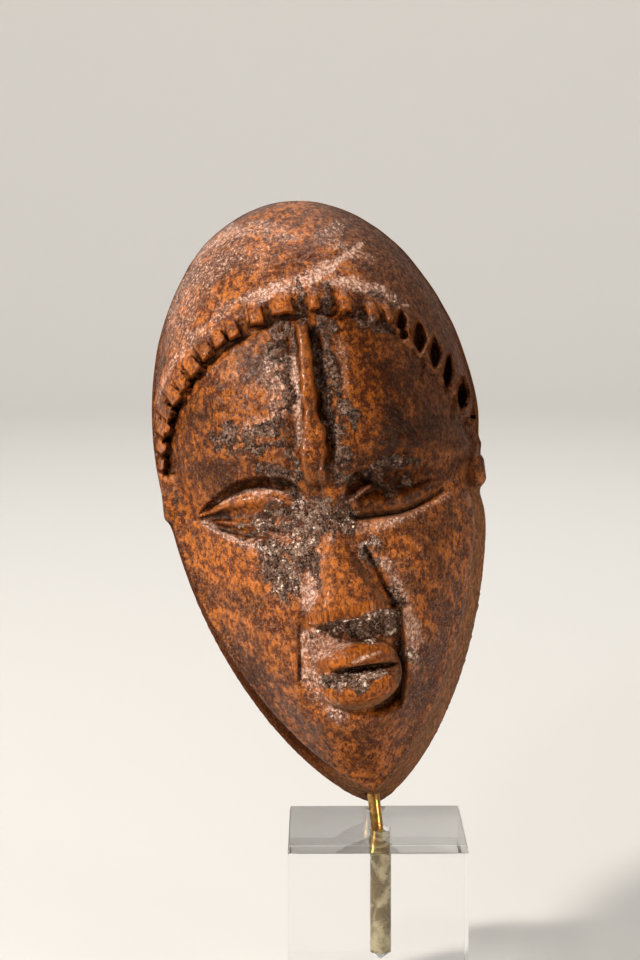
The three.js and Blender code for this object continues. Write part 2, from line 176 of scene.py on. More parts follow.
# The nose: the flat front facet's corners, the wings, the cut-off lower end, and the low bridge above
NOSE_RIDGE = [
    (0.1, -10.3, 24.3), (0.8, -10.3, 24.3), (-3, -20.6, 28.8), (5.4, -20.2, 27.8), (-1.8, -9.6, 19.5),
    (2.6, -9.6, 19.5), (-5.6, -22.2, 19.5), (7.4, -21.8, 19.5), (-3.4, -24.4, 28.1), (5.6, -24, 27.2),
]
NOSE_WINGS = [
    (-3, -20.8, 28), (5.2, -20.4, 27.2), (-5.8, -21.5, 25.6), (7.2, -21, 25), (-6.1, -24.6, 25),
    (-3.2, -24.7, 27.6), (5.6, -24.3, 26.8), (7.4, -23.9, 24.4), (-6.2, -23.8, 19.5), (7.4, -23.4, 19.5),
    (-3.8, -16.4, 20), (5.4, -16.4, 20),
]
NOSE_FROM = -12
BRIDGE = ((0.2, -3, 19.8), (0.3, -10.5, 20.8), 2.6)

# The sunk field round the mouth, the muzzle and the lips
FIELD_LEFT = [(-20, -7), (-23.8, -7.3), (-33.7, -8.3), (-40, -8.4)]
FIELD_RIGHT = [(-20, 10.1), (-23.4, 10), (-30, 9.6), (-38.1, 8.6), (-42, 7)]
FIELD_TOP = -22.4
FIELD_BOTTOM = -39.6
FIELD_DEEP = 2.1
MUZZLE = ((1.3, -32.8, 19.2), (7.5, 6.0, 5.0), 0)
UPPER_LIP = ((1.5, -30.3, 21.2), (6.4, 2.7, 4.5), 4)
LOWER_LIP = ((1.7, -35.3, 20.9), (6.5, 3.0, 4.4), 6)
MOUTH = ((1.7, -33.4, 25.4), (6.8, 1.9, 2.1), 3)
MOUTH_SLOT = ((2.8, -32.2, 23.4), (6.4, 0.6, 5.0), 1.5)

# The ears, and the hollow back
LUG_BOTTOM = -3.6
LUG_TOP = 2.4
LUG_REACH = 28.2
LUG_FRONT = 11.0
LUG_BACK = 0.6
HOLLOW_HALF_WIDTH = 23.2
HOLLOW_CROWN = 45.8
HOLLOW_CHIN = -43.5
HOLLOW_END = 15
HOLLOW_DEPTHS = [(-2, 1), (2, 0.99), (6, 0.93), (10, 0.8), (13, 0.6), (14.6, 0.36), (15, 0.12)]

# Fine cuts in the face and the dome, as (points, width, depth); a depth below zero stands up. In the
# face: the cut beside the mouth, the crease under the lower lip, the cheek's dent, the hollow beside the
# nose, the lid's fold, the crease beside the nose, and the ledge from the left eye to the ear. On the dome:
# long scuffs on the crown, then scratches and creases at the right
FACE_CUTS = [
    ([(-7.3, -23.6), (-7.6, -27), (-8, -30.6), (-8.4, -33.9)], 0.3, 1),
    ([(2, -39.4), (5.2, -38.6), (7.8, -36.6), (9, -33.6), (9.2, -28)], 1, 1.5),
    ([(12.9, -13), (13.6, -14.4), (14.6, -15.6)], 0.35, 0.35),
    ([(9.4, -15.6), (9.9, -20), (11, -23.4)], 1.2, 0.35),
    ([(2.8, -4.7), (4.4, -3.5), (6.4, -2.4), (8, -1.6)], 0.55, -1),
    ([(4.6, -11.6), (6.2, -15.4), (7.3, -18.4), (8.5, -21.8), (8.9, -23)], 0.45, 0.9),
    ([(-29, -3.9), (-26, -4.1), (-23, -4.3)], 0.3, -0.3),
]
SCUFF_SHIFTS = (0, 0.7, 1.5)
DOME_CUTS = [
    ([(-3 + s, 31.4 + s), (3, 34 + s), (7.6, 37 + s), (10.6, 39.6)], 0.16, 0.14) for s in SCUFF_SHIFTS
] + [
    ([(17.6, 31.4), (19, 29), (20.6, 26.8)], 0.2, 0.18),
    ([(18.8, 18.2), (18.4, 16.6), (17.7, 14.2)], 0.2, 0.5),
    ([(17, 20), (18, 18.9), (19.4, 17.4), (21, 16.6)], 0.4, 0.7),
    ([(23.4, 11.6), (22.8, 9.8), (22.4, 8)], 0.25, 0.4),
    ([(25.4, 8.4), (24.8, 6.6)], 0.2, 0.3),
]

# Where earthy crust has stayed: strokes of (x, y, radius, strength)
CRUST = [
    [(-11.2, -7.6, 0.9, 0.6), (-8.6, -7.4, 1.8, 0.9), (-6, -7.6, 2.4, 1), (-3, -7.2, 2.4, 1),
     (-0.5, -7, 2.2, 1), (1.8, -6.6, 1.8, 0.9)],
    [(-10.4, -4.6, 0.8, 0.6), (-7.6, -4.8, 1.1, 0.8), (-5, -4.6, 1.2, 0.75), (-2.6, -4.8, 1.2, 0.8)],
    [(-9.6, -10.6, 1.2, 0.75), (-7.4, -11.4, 1.7, 0.9), (-5, -11.6, 1.8, 0.95), (-2.6, -10.6, 1.2, 0.8)],
    [(-8.6, -13.6, 1.4, 0.75), (-6.6, -14.4, 1.5, 0.8), (-4.8, -13.6, 1.1, 0.6)],
    [(-8.2, -16, 0.9, 0.5), (-9.6, -18.6, 0.9, 0.45), (-8.6, -20.4, 0.8, 0.4)],
    [(-11.6, -14.8, 0.8, 0.55), (-11.2, -16.8, 0.9, 0.6)],
    [(2, -4.6, 1.2, 0.6), (2.6, -7, 1.3, 0.75), (2.4, -9.4, 0.9, 0.7)],
    [(4.6, -12.4, 0.8, 0.8), (6.4, -11.8, 1, 0.85), (7, -13, 0.9, 0.85)],
    [(4.5, -13.4, 0.6, 0.8), (4.9, -15, 0.7, 0.85), (6.2, -15.2, 0.7, 0.8), (7, -14.2, 0.7, 0.8)],
    [(8.6, -20.4, 0.8, 0.8), (9.4, -22, 0.9, 0.7)],
    [(8.6, -23.8, 0.9, 1), (7.4, -25, 1.4, 1.3), (4.6, -25.6, 1.5, 1.3), (1.8, -25.5, 1.2, 1.2),
     (-1.2, -25.3, 0.8, 1), (-4, -25.2, 0.6, 0.8)],
    [(8.6, -26.4, 0.9, 0.85), (5.6, -26.6, 1.1, 0.9), (3.4, -27.3, 0.8, 0.8)],
    [(8.9, -28.2, 0.7, 0.6), (9, -30.4, 0.5, 0.45)],
    [(10.4, -30.8, 0.8, 0.65), (11.4, -31.6, 0.5, 0.5)],
    [(-3.8, -33.5, 0.9, 1.3), (-1.6, -33.7, 1.3, 1.4), (1, -34, 1.4, 1.4), (3.6, -33.5, 1.1, 1.3),
     (5.8, -33, 0.7, 1)],
    [(-5.4, -25.9, 0.4, 0.7), (-5, -26.3, 0.3, 0.5)],
    [(-1.8, -26.4, 0.4, 0.6), (-1.2, -26.2, 0.3, 0.5)],
    [(-15.6, -6, 0.4, 0.45), (-12.4, -6.1, 0.7, 0.75), (-10.4, -6, 0.9, 0.85)],
    [(-15.6, -8.4, 0.5, 0.6), (-14.8, -8.6, 0.5, 0.6)],
    [(-12, -9.4, 0.6, 0.5), (-10, -9.6, 0.9, 0.75)],
    [(-10.4, -3.6, 0.5, 0.5), (-8, -3.2, 0.7, 0.5), (-5.6, -2.6, 1, 0.6)],
    [(9.4, -1.4, 1.2, 0.55), (11.6, -0.6, 1.7, 0.8), (13.4, 0.6, 1.3, 0.7), (15, 1.2, 0.8, 0.45)],
    [(10.6, -3, 1.3, 0.6), (13, -1.8, 1.2, 0.6)],
    [(7.2, -0.4, 1.2, 0.7), (9, 0, 1.4, 0.8), (11, 0.6, 1.3, 0.8)],
    [(-17.2, 8.8, 1.3, 0.65), (-15, 8.4, 1.8, 0.8), (-12.6, 7.4, 1.8, 0.8), (-10.6, 6.6, 1.3, 0.7)],
    [(-10.4, 8.8, 0.9, 0.6), (-7.6, 8.4, 1.3, 0.8), (-5, 8.6, 1, 0.75), (-4.5, 6, 0.8, 0.75)],
    [(-9, 6.2, 1.3, 0.8), (-6.4, 5.6, 1.3, 0.75), (-4.7, 3, 0.6, 0.65), (-4.4, 0.4, 0.7, 0.75)],
    [(-10.6, 2.6, 0.8, 0.45), (-7.6, 1.6, 1, 0.5), (-5.6, -0.4, 1, 0.6)],
    [(-4.6, 25.4, 1.1, 0.65), (-5.2, 23, 1.3, 0.8), (-5.6, 20.6, 1.2, 0.8), (-4.8, 17.6, 1, 0.65)],
    [(-4.8, 17.6, 1, 0.65), (-4.6, 14.6, 0.9, 0.55), (-4.8, 11.4, 1.1, 0.7)],
    [(2.6, 22.6, 0.6, 0.75), (2.9, 19, 0.65, 0.8), (3.3, 16, 0.7, 0.8), (3.5, 13.2, 0.7, 0.7)],
    [(4, 11.4, 1, 0.7), (5.4, 9.4, 1.2, 0.75), (6.2, 7.6, 1, 0.6)],
    [(3.4, 8, 0.9, 0.75), (2.6, 4.6, 1, 0.75), (2.8, 2.2, 1.2, 0.8)],
    [(1.4, 0, 1.4, 0.75), (3.6, -0.6, 1.3, 0.7)],
    [(1.3, 24, 0.8, 0.6), (1.2, 19, 0.9, 0.65), (1.6, 14, 1, 0.7), (1.7, 10, 0.8, 0.65), (2, 6, 0.9, 0.6)],
    [(2.4, 26.3, 0.5, 0.9), (3, 25.1, 0.6, 0.85), (4.2, 24.2, 0.6, 0.75)],
    [(-1, 26, 0.6, 0.85), (-0.8, 28.4, 0.7, 0.9), (-0.9, 31, 0.7, 0.75), (-1.2, 33, 0.7, 0.5)],
    [(3.4, 27.8, 0.5, 0.7), (3.8, 30, 0.6, 0.75), (4.2, 31.8, 0.7, 0.5)],
    [(8.6, 26.4, 0.6, 0.75), (9.8, 25, 1, 0.9), (12.2, 24.4, 0.9, 0.85), (13.4, 23.6, 0.7, 0.6)],
    [(11.6, 30, 0.8, 0.5), (14.6, 28.8, 0.9, 0.55), (13.2, 30.2, 0.6, 0.4)],
    [(-12.4, -6.4, 1.2, 0.5), (-10.6, -12.6, 1.4, 0.5), (-7.6, -17.6, 1.2, 0.5)],
    [(-3.4, -18, 0.5, 0.5), (-4.4, -11.4, 1.2, 0.8), (-3, -13.6, 0.6, 0.6)],
]
CRUST_RING = (4.75, 27.0, 0.75, 0.3)

# Pale dust and scuffs on the dome, with painted highlights on lit edges and a painted sheen on the dome's
# left; dark stains; and where the orange wood shows through best, with painted light on the right cheek and
# in the notches
DUST_AND_HIGHLIGHTS = [
    [(-9.8, 31.2, 1, 0.8), (-5, 32.2, 1.3, 1), (0, 33.4, 1.6, 0.9), (4, 35.2, 1.3, 0.8)],
    [(-1, 32, 0.8, 1), (4, 34.6, 0.7, 1), (10.4, 39.4, 0.6, 0.9)],
    [(4.6, 32.4, 1, 0.9), (8.6, 31.6, 1.2, 0.9), (13, 30.2, 1, 0.8), (16.6, 27.6, 0.8, 0.5)],
    [(-13.4, 30.4, 1.6, 0.6), (-16.6, 27, 1.2, 0.5), (-20, 27, 1.8, 0.5), (-22.6, 24.6, 1.4, 0.5)],
    [(-17.4, 42.4, 2, 0.6), (-12.4, 44.6, 2.2, 0.7), (-6, 44.4, 2, 0.6), (-1, 42, 1.6, 0.5)],
    [(-23.4, 33, 1.6, 0.5), (-21.4, 37.6, 1.8, 0.5), (-18, 38.4, 1.8, 0.5)],
    [(8, 44, 1.2, 0.4), (4, 40.6, 1.3, 0.5), (12, 36.6, 1, 0.4)],
    [(-3.2, -13, 1, 0.8), (-4.6, -16, 1.3, 0.9), (-5, -18.8, 1.4, 0.9), (-5.8, -21, 1, 0.7)],
    [(-5.6, -25.6, 1.5, 0.8), (-4, -26.6, 2, 0.75), (-1.6, -27.6, 1.7, 0.7), (0.6, -27, 1.2, 0.6)],
    [(-6, -28.4, 1.7, 0.75), (-6.5, -32, 1.4, 0.7), (-5.6, -36, 1.4, 0.6), (-3, -39, 1.4, 0.5)],
    # Painted highlight on the upper lip's top edge
    [(-4.6, -29, 1.4, 0.8), (-2.6, -29.2, 1.1, 0.7)],
    [(-12, -33, 1.6, 0.15), (-10.6, -37, 1.8, 0.2), (-7, -41, 1.8, 0.2)],
    [(1, -31, 0.35, 0.9), (3.4, -30.2, 0.4, 1), (5.4, -29.9, 0.35, 0.9)],
    # Painted highlight on the lit top edge of the right cheek, below the eye
    [(4.6, -9, 1, 0.6), (7.6, -8.9, 1, 0.6), (10.4, -8.6, 0.8, 0.7), (12.8, -8, 0.6, 0.6),
     (16, -6.8, 0.5, 0.6)],
    [(16, -6.8, 0.5, 0.6), (18.4, -5.7, 0.5, 0.6), (20.4, -4.7, 0.4, 0.4)],
    # Painted sheen over the dome's lit left side
    [(-22, 28, 3, 0.4), (-19.6, 35, 3.6, 0.5), (-14, 40, 3.6, 0.5), (-6, 40, 3, 0.4)],
    [(8.2, -15.4, 1, 0.8), (9.2, -18, 1.2, 0.8), (10.2, -21, 1, 0.8)],
    [(11, -24.6, 1.3, 0.8), (11.2, -28, 1.6, 1), (10.8, -33, 1.2, 0.6)],
    # Pale bevel above the left cheek and the lid's top rim, with painted highlights where they face the
    # light
    [(-21.4, -4.6, 0.5, 0.9), (-18.6, -6.9, 0.5, 0.9), (-15.4, -9, 0.5, 1), (-11.4, -9.8, 0.8, 0.8)],
    [(-18, -1.6, 0.5, 0.6), (-14, -0.5, 0.6, 0.9), (-9.6, -0.9, 0.7, 0.9), (-6.6, -1.8, 0.8, 0.7)],
    [(3.8, -3.9, 0.45, 0.8), (6, -2.6, 0.4, 0.5)],
    [(-3.4, 20, 0.7, 0.8), (-3.4, 16.4, 0.9, 1), (-3.6, 12.6, 0.8, 0.8), (-3.6, 6, 0.6, 0.5)],
    [(-5.4, 16.6, 0.9, 0.8), (-4.8, 13.6, 0.8, 0.7)],
    [(4.4, 14, 0.8, 0.5), (5, 18.6, 0.8, 0.4), (5, 22, 0.9, 0.4)],
    # Pale tips of the left teeth: painted highlights where their outer ends face the light
    [(-10.4, 31.8, 0.6, 0.7), (-14.4, 29.6, 0.6, 0.7), (-17.4, 28, 0.6, 0.6), (-20.4, 26, 0.6, 0.6)],
    [(-20.4, 26, 0.6, 0.6), (-23.2, 23.6, 0.6, 0.6), (-25.6, 20.8, 0.5, 0.6), (-27.2, 17.4, 0.5, 0.6)],
    [(-6.4, 20, 1.6, 0.5), (-6.4, 14, 1.6, 0.5), (-8, 9.6, 1.8, 0.5), (-13, 9.4, 1.6, 0.4)],
    [(-9, -8, 2.4, 0.5), (-5, -12, 2.4, 0.5), (-7, -16, 2, 0.5)],
]
STAINS = [
    [(-20, -26, 3.4, 0.8), (-17.6, -32, 3.6, 0.9), (-12, -39.6, 3.4, 0.8), (-6, -44, 2.6, 0.6)],
    [(-21.6, -16, 2.4, 0.6), (-17.2, -19, 2, 0.5), (-12, -22.6, 2.6, 0.55)],
    [(14.4, -30, 2.4, 0.6), (12, -36.6, 2.6, 0.7), (8.4, -43.6, 2.4, 0.6)],
    [(0.4, -44.4, 2.6, 0.6), (3.4, -48.6, 2.2, 0.5)],
    [(-17.4, 2.6, 2.6, 0.7), (-21, 4, 2, 0.6), (-12.6, 3.6, 1.6, 0.5)],
    [(-13.6, 14.6, 2.2, 0.5), (-9, 20, 2.4, 0.5), (-20.6, 13.4, 2, 0.4)],
    [(9.6, 20, 2.4, 0.6), (13.6, 12, 2.8, 0.6), (11, 5.4, 2.6, 0.6), (17.6, 6.6, 2.6, 0.7)],
    [(-1, -0.6, 2.4, 0.9), (-0.8, 3, 1.5, 0.8)],
    [(-20, 45, 2.6, 0.5), (-24.6, 38, 2, 0.5), (-3, 38, 2.4, 0.5), (7.6, 41.6, 2.4, 0.4)],
    [(-11, -12, 1.6, 0.6), (-13.4, -12.4, 1.4, 0.4)],
    [(0.6, -12.6, 1, 0.5), (2.6, -16, 1.6, 0.6), (4.4, -19.6, 1.6, 0.6), (-0.6, -19, 1.2, 0.4)],
]
EMBERS = [
    [(-14, 11.4, 3.6, 0.6), (-10, 15.6, 3, 0.6), (-18, 14.4, 3, 0.5)],
    [(-0.6, 18, 1.2, 0.9), (-1.2, 10, 1.3, 0.9), (-1.2, 4, 1.6, 0.6)],
    [(9, 15, 2.6, 0.6), (8.8, 8.4, 2.6, 0.6), (12.4, 17.6, 2.4, 0.5)],
    # Painted light: the right cheek brighter and more orange
    [(12, -10.6, 3.4, 0.7), (16, -12, 3.6, 0.7), (19.6, -12, 3, 0.6), (14.6, -20, 3.4, 0.6)],
    [(0.8, -20.6, 3, 0.45), (4.4, -21, 2.4, 0.5), (1.4, -16, 1.8, 0.3)],
    [(-3, -30.4, 2, 0.7), (2.6, -30.6, 2.6, 0.8), (6, -30, 1.6, 0.7)],
    [(-2.4, -36, 1.8, 0.8), (2.4, -37, 2, 0.9), (6.6, -35.4, 1.6, 0.7)],
    [(-20, -11, 3, 0.5), (-15.6, -17, 3, 0.4), (-20.4, -20.6, 2.4, 0.4)],
    [(-15, -1.8, 1.8, 0.5), (-11, -2, 1.6, 0.5), (-16, -5.2, 1, 0.5)],
    [(2, -41.6, 3, 0.5), (9.6, -34, 2.4, 0.4)],
    [(-14, -34, 3.4, 0.4), (-9, -40, 3.6, 0.5), (-3, -45, 3.6, 0.55), (2.4, -47, 3.2, 0.55),
     (7, -42, 2.6, 0.5)],
    # More painted light on the right cheek
    [(12, -26, 3, 0.6), (16, -18, 3.4, 0.6), (18, -8, 3, 0.5)],
    # Painted light where the notches' lower walls catch the light
    [(16, 22.4, 0.6, 0.9), (16.2, 22.2, 0.6, 0.9)],
    [(19, 20.6, 0.6, 1), (19.2, 20, 0.5, 1)],
    [(21.7, 17.8, 0.6, 1), (21.9, 17.2, 0.5, 1)],
    [(23.2, 13.6, 0.5, 0.9), (23.3, 13, 0.5, 0.9)],
    [(25.1, 10.4, 0.5, 0.9), (25.2, 9.8, 0.5, 0.8)],
]

# Where painted shade and the darkest patina lie and where they are spared, and the cut ends of the fibres
PAINTED_SHADE_AND_PATINA = [
    [(1.1, 24.6, 1.2, 1), (1, 19, 1.3, 1), (1.5, 14, 1.5, 1), (1.4, 11, 1.3, 1), (1.7, 8, 1.1, 0.9),
     (1.6, 4, 1, 0.8)],
    [(-5, 26.4, 0.5, 0.9), (-6.4, 27, 0.6, 1), (-6.4, 30.6, 0.5, 0.9)],
    [(9, 26.6, 0.7, 0.8), (8.9, 30.4, 0.7, 0.7)],
    [(6.6, 24.6, 1, 0.5), (11, 23.4, 1.4, 0.6), (14.6, 21.4, 1.4, 0.6)],
    [(4.9, -12.4, 0.5, 0.9), (6.2, -15.4, 0.5, 1), (7.2, -17.8, 0.5, 1), (8.3, -20.8, 0.5, 1),
     (8.8, -22.4, 0.6, 1)],
    [(3.4, -7.3, 0.3, 1), (7.3, -7.3, 0.35, 1), (11.6, -7, 0.35, 1), (14.2, -6.3, 0.3, 1),
     (19.6, -3.8, 0.25, 0.8)],
    [(6, -5.6, 1.2, 0.6), (10, -5.2, 1.4, 0.7), (14, -4.2, 1.4, 0.7), (17.6, -2.8, 1.2, 0.7)],
    [(8.6, -28, 0.8, 0.8), (9, -33, 0.8, 0.9), (7.8, -37.4, 1, 0.9), (4.6, -39, 0.8, 0.7)],
    [(-17, -31, 4, 0.3), (-10, -40, 4, 0.35), (-3, -46, 4, 0.3)],
    [(4.6, -3.4, 1.2, 1), (8, -2.2, 2.4, 1), (12, -1, 2.6, 1), (15.6, 0.4, 2, 0.8), (19, 1, 1.6, 0.5)],
    [(5, 3.4, 1.6, 0.6), (9, 3, 1.8, 0.6), (13, 3.4, 1.8, 0.5)],
    [(-0.8, 26, 0.9, 0.9), (-0.9, 29, 0.8, 0.8), (-1.1, 32, 0.8, 0.5)],
    [(3.2, 25, 1.2, 0.8), (4.4, 26.4, 1.6, 0.8), (4.1, 30, 0.9, 0.8), (4.2, 32, 0.8, 0.5)],
    [(9.4, 24.8, 1.5, 0.8), (12.4, 24, 1.2, 0.8), (9.2, 28, 0.8, 0.8)],
    [(3.6, 20, 0.9, 0.6), (4, 14, 1, 0.6), (5.4, 9, 1.2, 0.5), (3.6, 3, 1.4, 0.6), (3, -1, 1.6, 0.6)],
    [(-9, 4, 2, 0.5), (-13, 4.6, 2, 0.5), (-6, 1, 1.6, 0.6)],
    [(-22, -4.1, 0.4, 0.8), (-18, -4.2, 0.45, 1), (-14, -4.5, 0.55, 1), (-10, -5, 0.5, 0.9)],
    [(-21, -5.2, 0.25, 0.8), (-17.8, -6.6, 0.3, 1), (-14, -7.9, 0.3, 1), (-11, -8.4, 0.3, 1),
     (-9.4, -8.4, 0.3, 0.8)],
    [(11, 2.6, 2.2, 0.7), (15.6, 3.4, 2.2, 0.8), (20, 4, 2, 0.8)],
    [(13, -2.4, 1.5, 0.9), (17, -1, 1.7, 0.9), (20.6, 0.4, 1.5, 0.8), (23.4, 1.4, 1, 0.6)],
]
SPARED = [
    [(3.6, -4, 0.5, 1), (5, -3.1, 0.5, 1), (6.8, -2.2, 0.4, 0.9)],
]
END_GRAIN = [
    [(-5.4, -23.8, 1.1, 1), (0, -23.3, 1.2, 1), (6.2, -22.4, 1, 1)],
    [(-3.2, -36.2, 1.2, 1), (1.6, -37, 1.5, 1), (6, -35.8, 1.2, 1)],
    [(-3.4, -30.6, 1.2, 0.8), (2, -29.6, 1.4, 0.8), (6.2, -30.2, 1.2, 0.8)],
]

# How finely the meshes are divided
SHEET_STEP = 0.1
SHEET_LEFT = -34.0
SHEET_RIGHT = 34.0
SHEET_LOW = -60.0
SHEET_HIGH = 56.0
NET_STEP = 0.8
NET_LOW = (-31.2, -58.4, -1.6)
NET_HIGH = (31.2, 53.6, 31.2)
MOST_TRIANGLES = 200000
LEAST_SLOPE = 0.25
LONGEST_MOVE = 0.3
EDGE_DETAIL = 0.34
EDGE_FRONT = 0.6
EDGE_BACK = 1.3
ROUND_SIDES = 48


# Smooth arithmetic

def eased(value, start, end):
    share = np.clip((value - start) / (end - start), 0, 1)
    return share * share * (3 - 2 * share)


def bell(value, width):
    return np.exp(-((value / width) ** 2))


def smooth_min(a, b, blend):
    share = np.clip(0.5 + 0.5 * (b - a) / blend, 0, 1)
    return b + (a - b) * share - blend * share * (1 - share)


def smooth_max(a, b, blend):
    return -smooth_min(-a, -b, blend)


def curve_at(points, where):
    """A soft curve through points of (where, value), read at any number of places."""
    places, values = np.array(sorted(points), float).T
    slopes = np.gradient(values, places)
    where = np.clip(where, places[0], places[-1])
    index = np.clip(np.searchsorted(places, where, side="right") - 1, 0, len(places) - 2)
    span = places[index + 1] - places[index]
    t = (where - places[index]) / span
    rest = 1 - t
    return (
        values[index] * (1 + 2 * t) * rest * rest
        + values[index + 1] * t * t * (3 - 2 * t)
        + span * (slopes[index] * t * rest * rest - slopes[index + 1] * t * t * rest)
    )


# Repeatable noise

HASH_AXES = (0x8DA6B343, 0xD8163841, 0xCB1AB31F)
HASH_SEED = 0x9E3779B1
HASH_STEPS = ((15, 0x2C1B3C6D), (12, 0x297A2D39), (15, 1))


def hashed(cell, seed):
    """A repeatable number from 0 to 1 for each whole-numbered cell."""
    h = np.uint32((seed * HASH_SEED) & 0xFFFFFFFF)
    for axis, factor in zip(cell, HASH_AXES):
        h = h ^ axis.astype(np.int64).astype(np.uint32) * np.uint32(factor)
    for shift, factor in HASH_STEPS:
        h ^= h >> np.uint32(shift)
        h *= np.uint32(factor)
    return h.astype(np.float64) / 2**32


def noise(points, size, seed):
    """Smooth noise from -1 to 1 with lumps of about the given size."""
    place = points.T / size
    cell = np.floor(place)
    share = place - cell
    share = share * share * (3 - 2 * share)
    total = 0.0
    for corner in product((0, 1), repeat=3):
        x, y, z = (np.abs(1 - step - part) for step, part in zip(corner, share))
        total = total + x * y * z * hashed([base + step for base, step in zip(cell, corner)], seed)
    return total * 2 - 1


def rough_noise(points, size, seed, octaves=3):
    total = 0.0
    for octave in range(octaves):
        total = total + noise(points, size / 2**octave, seed + octave) / 2**octave
    return total / 1.6


def pebbles(points, size, seed):
    """Distance to the nearest and the second nearest of scattered points, over the given size."""
    place = points.T / size
    cell = np.floor(place)
    first = np.full(len(points), 9.0)
    second = first
    for corner in product((-1, 0, 1), repeat=3):
        spot = [base + step for base, step in zip(cell, corner)]
        away = sum((place[axis] - spot[axis] - hashed(spot, seed + axis)) ** 2 for axis in range(3))
        second = np.minimum(second, np.maximum(first, away))
        first = np.minimum(first, away)
    return np.sqrt(first), np.sqrt(second)


# Sheets: values across the face, worked out once on a fine grid and read anywhere

SHEET_XS = np.arange(SHEET_LEFT, SHEET_RIGHT + SHEET_STEP / 2, SHEET_STEP)
SHEET_YS = np.arange(SHEET_LOW, SHEET_HIGH + SHEET_STEP / 2, SHEET_STEP)
GRID_X, GRID_Y = np.meshgrid(SHEET_XS, SHEET_YS, indexing="ij")
GRID_POINTS = np.stack([GRID_X.ravel(), GRID_Y.ravel(), np.zeros(GRID_X.size)], axis=1)


def on_grid(values):
    return values.reshape(GRID_X.shape)


def sheet_reader(values):
    """Turns a grid of values into a function of x and y."""
    columns, rows = values.shape

    def read(x, y):
        u = np.clip((x - SHEET_LEFT) / SHEET_STEP, 0, columns - 1.001)
        v = np.clip((y - SHEET_LOW) / SHEET_STEP, 0, rows - 1.001)
        i = u.astype(int)
        j = v.astype(int)
        u = u - i
        v = v - j
        lower = values[i, j] * (1 - u) + values[i + 1, j] * u
        upper = values[i, j + 1] * (1 - u) + values[i + 1, j + 1] * u
        return lower * (1 - v) + upper * v

    return read


def blurred(values, radius):
    """A sheet softened over a radius in millimetres."""
    reach = max(int(radius / SHEET_STEP), 1)
    kernel = np.hanning(2 * reach + 3)[1:-1]
    kernel /= kernel.sum()
    padded = np.pad(values, reach, mode="edge")
    along = sum(weight * padded[shift : shift + values.shape[0], :] for shift, weight in enumerate(kernel))
    return sum(weight * along[:, shift : shift + values.shape[1]] for shift, weight in enumerate(kernel))


def line_distance(points):
    """For the whole grid: the distance to a line of points, its side (1 at its left), and how far along
    the nearest place is, from 0 to 1."""
    points = np.array(points, float)
    steps = np.diff(points, axis=0)
    lengths = np.hypot(steps[:, 0], steps[:, 1])
    starts = np.concatenate([[0], np.cumsum(lengths)])
    best = np.full(GRID_X.shape, 1e9)
    side = np.ones(GRID_X.shape)
    along = np.zeros(GRID_X.shape)
    for index, ((x, y), (dx, dy), length) in enumerate(zip(points[:-1], steps, lengths)):
        from_x = GRID_X - x
        from_y = GRID_Y - y
        share = np.clip((from_x * dx + from_y * dy) / length**2, 0, 1)
        away = np.hypot(from_x - share * dx, from_y - share * dy)
        nearer = away < best
        best = np.where(nearer, away, best)
        side = np.where(nearer, np.sign(dx * from_y - dy * from_x), side)
        along = np.where(nearer, (starts[index] + share * length) / starts[-1], along)
    return best, side, along


def strokes(lists, seed, ragged=0.55, soft=0.7):
    """Soft-edged patches along short strokes of (x, y, radius, strength), with ragged edges."""
    total = np.zeros(GRID_X.shape)
    wobble = on_grid(rough_noise(GRID_POINTS, 2.2, seed, 4)) * ragged
    for stroke in lists:
        for start, end in zip(stroke[:-1], stroke[1:]):
            reach = max(start[2], end[2]) * 2 + 1
            part = np.ix_(*[
                (places > min(a, b) - reach) & (places < max(a, b) + reach)
                for places, a, b in zip((SHEET_XS, SHEET_YS), start, end)
            ])
            x, y = GRID_X[part] - start[0], GRID_Y[part] - start[1]
            dx, dy, wider, stronger = np.subtract(end, start)
            share = np.clip((x * dx + y * dy) / (dx * dx + dy * dy), 0, 1)
            away = np.hypot(x - share * dx, y - share * dy) / (start[2] + wider * share)
            fading = 1 - eased(away + wobble[part], 1 - soft / 2, 1 + soft / 2)
            total[part] = np.maximum(total[part], (start[3] + stronger * share) * fading)
    return total


# The outline and the base shapes

def egg(angles, half_width, crown, chin):
    rise = np.sin(angles)
    power = np.where(rise < 0, JAW_TAPER, 1.0)
    across = np.sign(np.cos(angles)) * np.abs(np.cos(angles)) ** power
    drift = CHIN_DRIFT * np.maximum(-rise, 0) ** 1.5
    reach = np.where(rise < 0, WIDEST - chin, crown - WIDEST)
    return np.stack([half_width * across + drift, WIDEST + reach * rise], axis=1)


def egg_distance(half_width, crown, chin):
    """A sheet of the distance from an egg outline, negative inside it."""
    outline = egg(np.linspace(0, 2 * math.pi, 161), half_width, crown, chin)
    best, side, _ = line_distance(outline)
    return best * -side


def half_width_at(y, half_width, crown, chin):
    rise = (y - WIDEST) / np.where(y < WIDEST, WIDEST - chin, crown - WIDEST)
    return half_width * np.sqrt(np.maximum(1 - rise**2, 0)) ** np.where(y < WIDEST, JAW_TAPER, 1.0)


def edge_fraction():
    """How far each place is from the middle towards the front edge, 1 on the edge, and the wall's inset."""
    angles = np.linspace(-math.pi, math.pi, 721)
    outer = egg(angles, HALF_WIDTH, RIM_CROWN, CHIN)
    low = np.maximum(-np.sin(angles), 0)
    right = np.maximum(np.cos(angles), 0)
    inset = WALL_INSET + WALL_INSET_CHIN * low**2 + WALL_INSET_RIGHT * right
    reach = outer - [0, WIDEST]
    length = np.hypot(reach[:, 0], reach[:, 1])
    polar = np.arctan2(reach[:, 1], reach[:, 0])
    order = np.argsort(polar)
    direction = np.arctan2(GRID_Y - WIDEST, GRID_X)
    edge = np.interp(direction, polar[order], (length - inset)[order], period=2 * math.pi)
    inset = np.interp(direction, polar[order], inset[order], period=2 * math.pi)
    return np.hypot(GRID_X, GRID_Y - WIDEST) / edge, inset


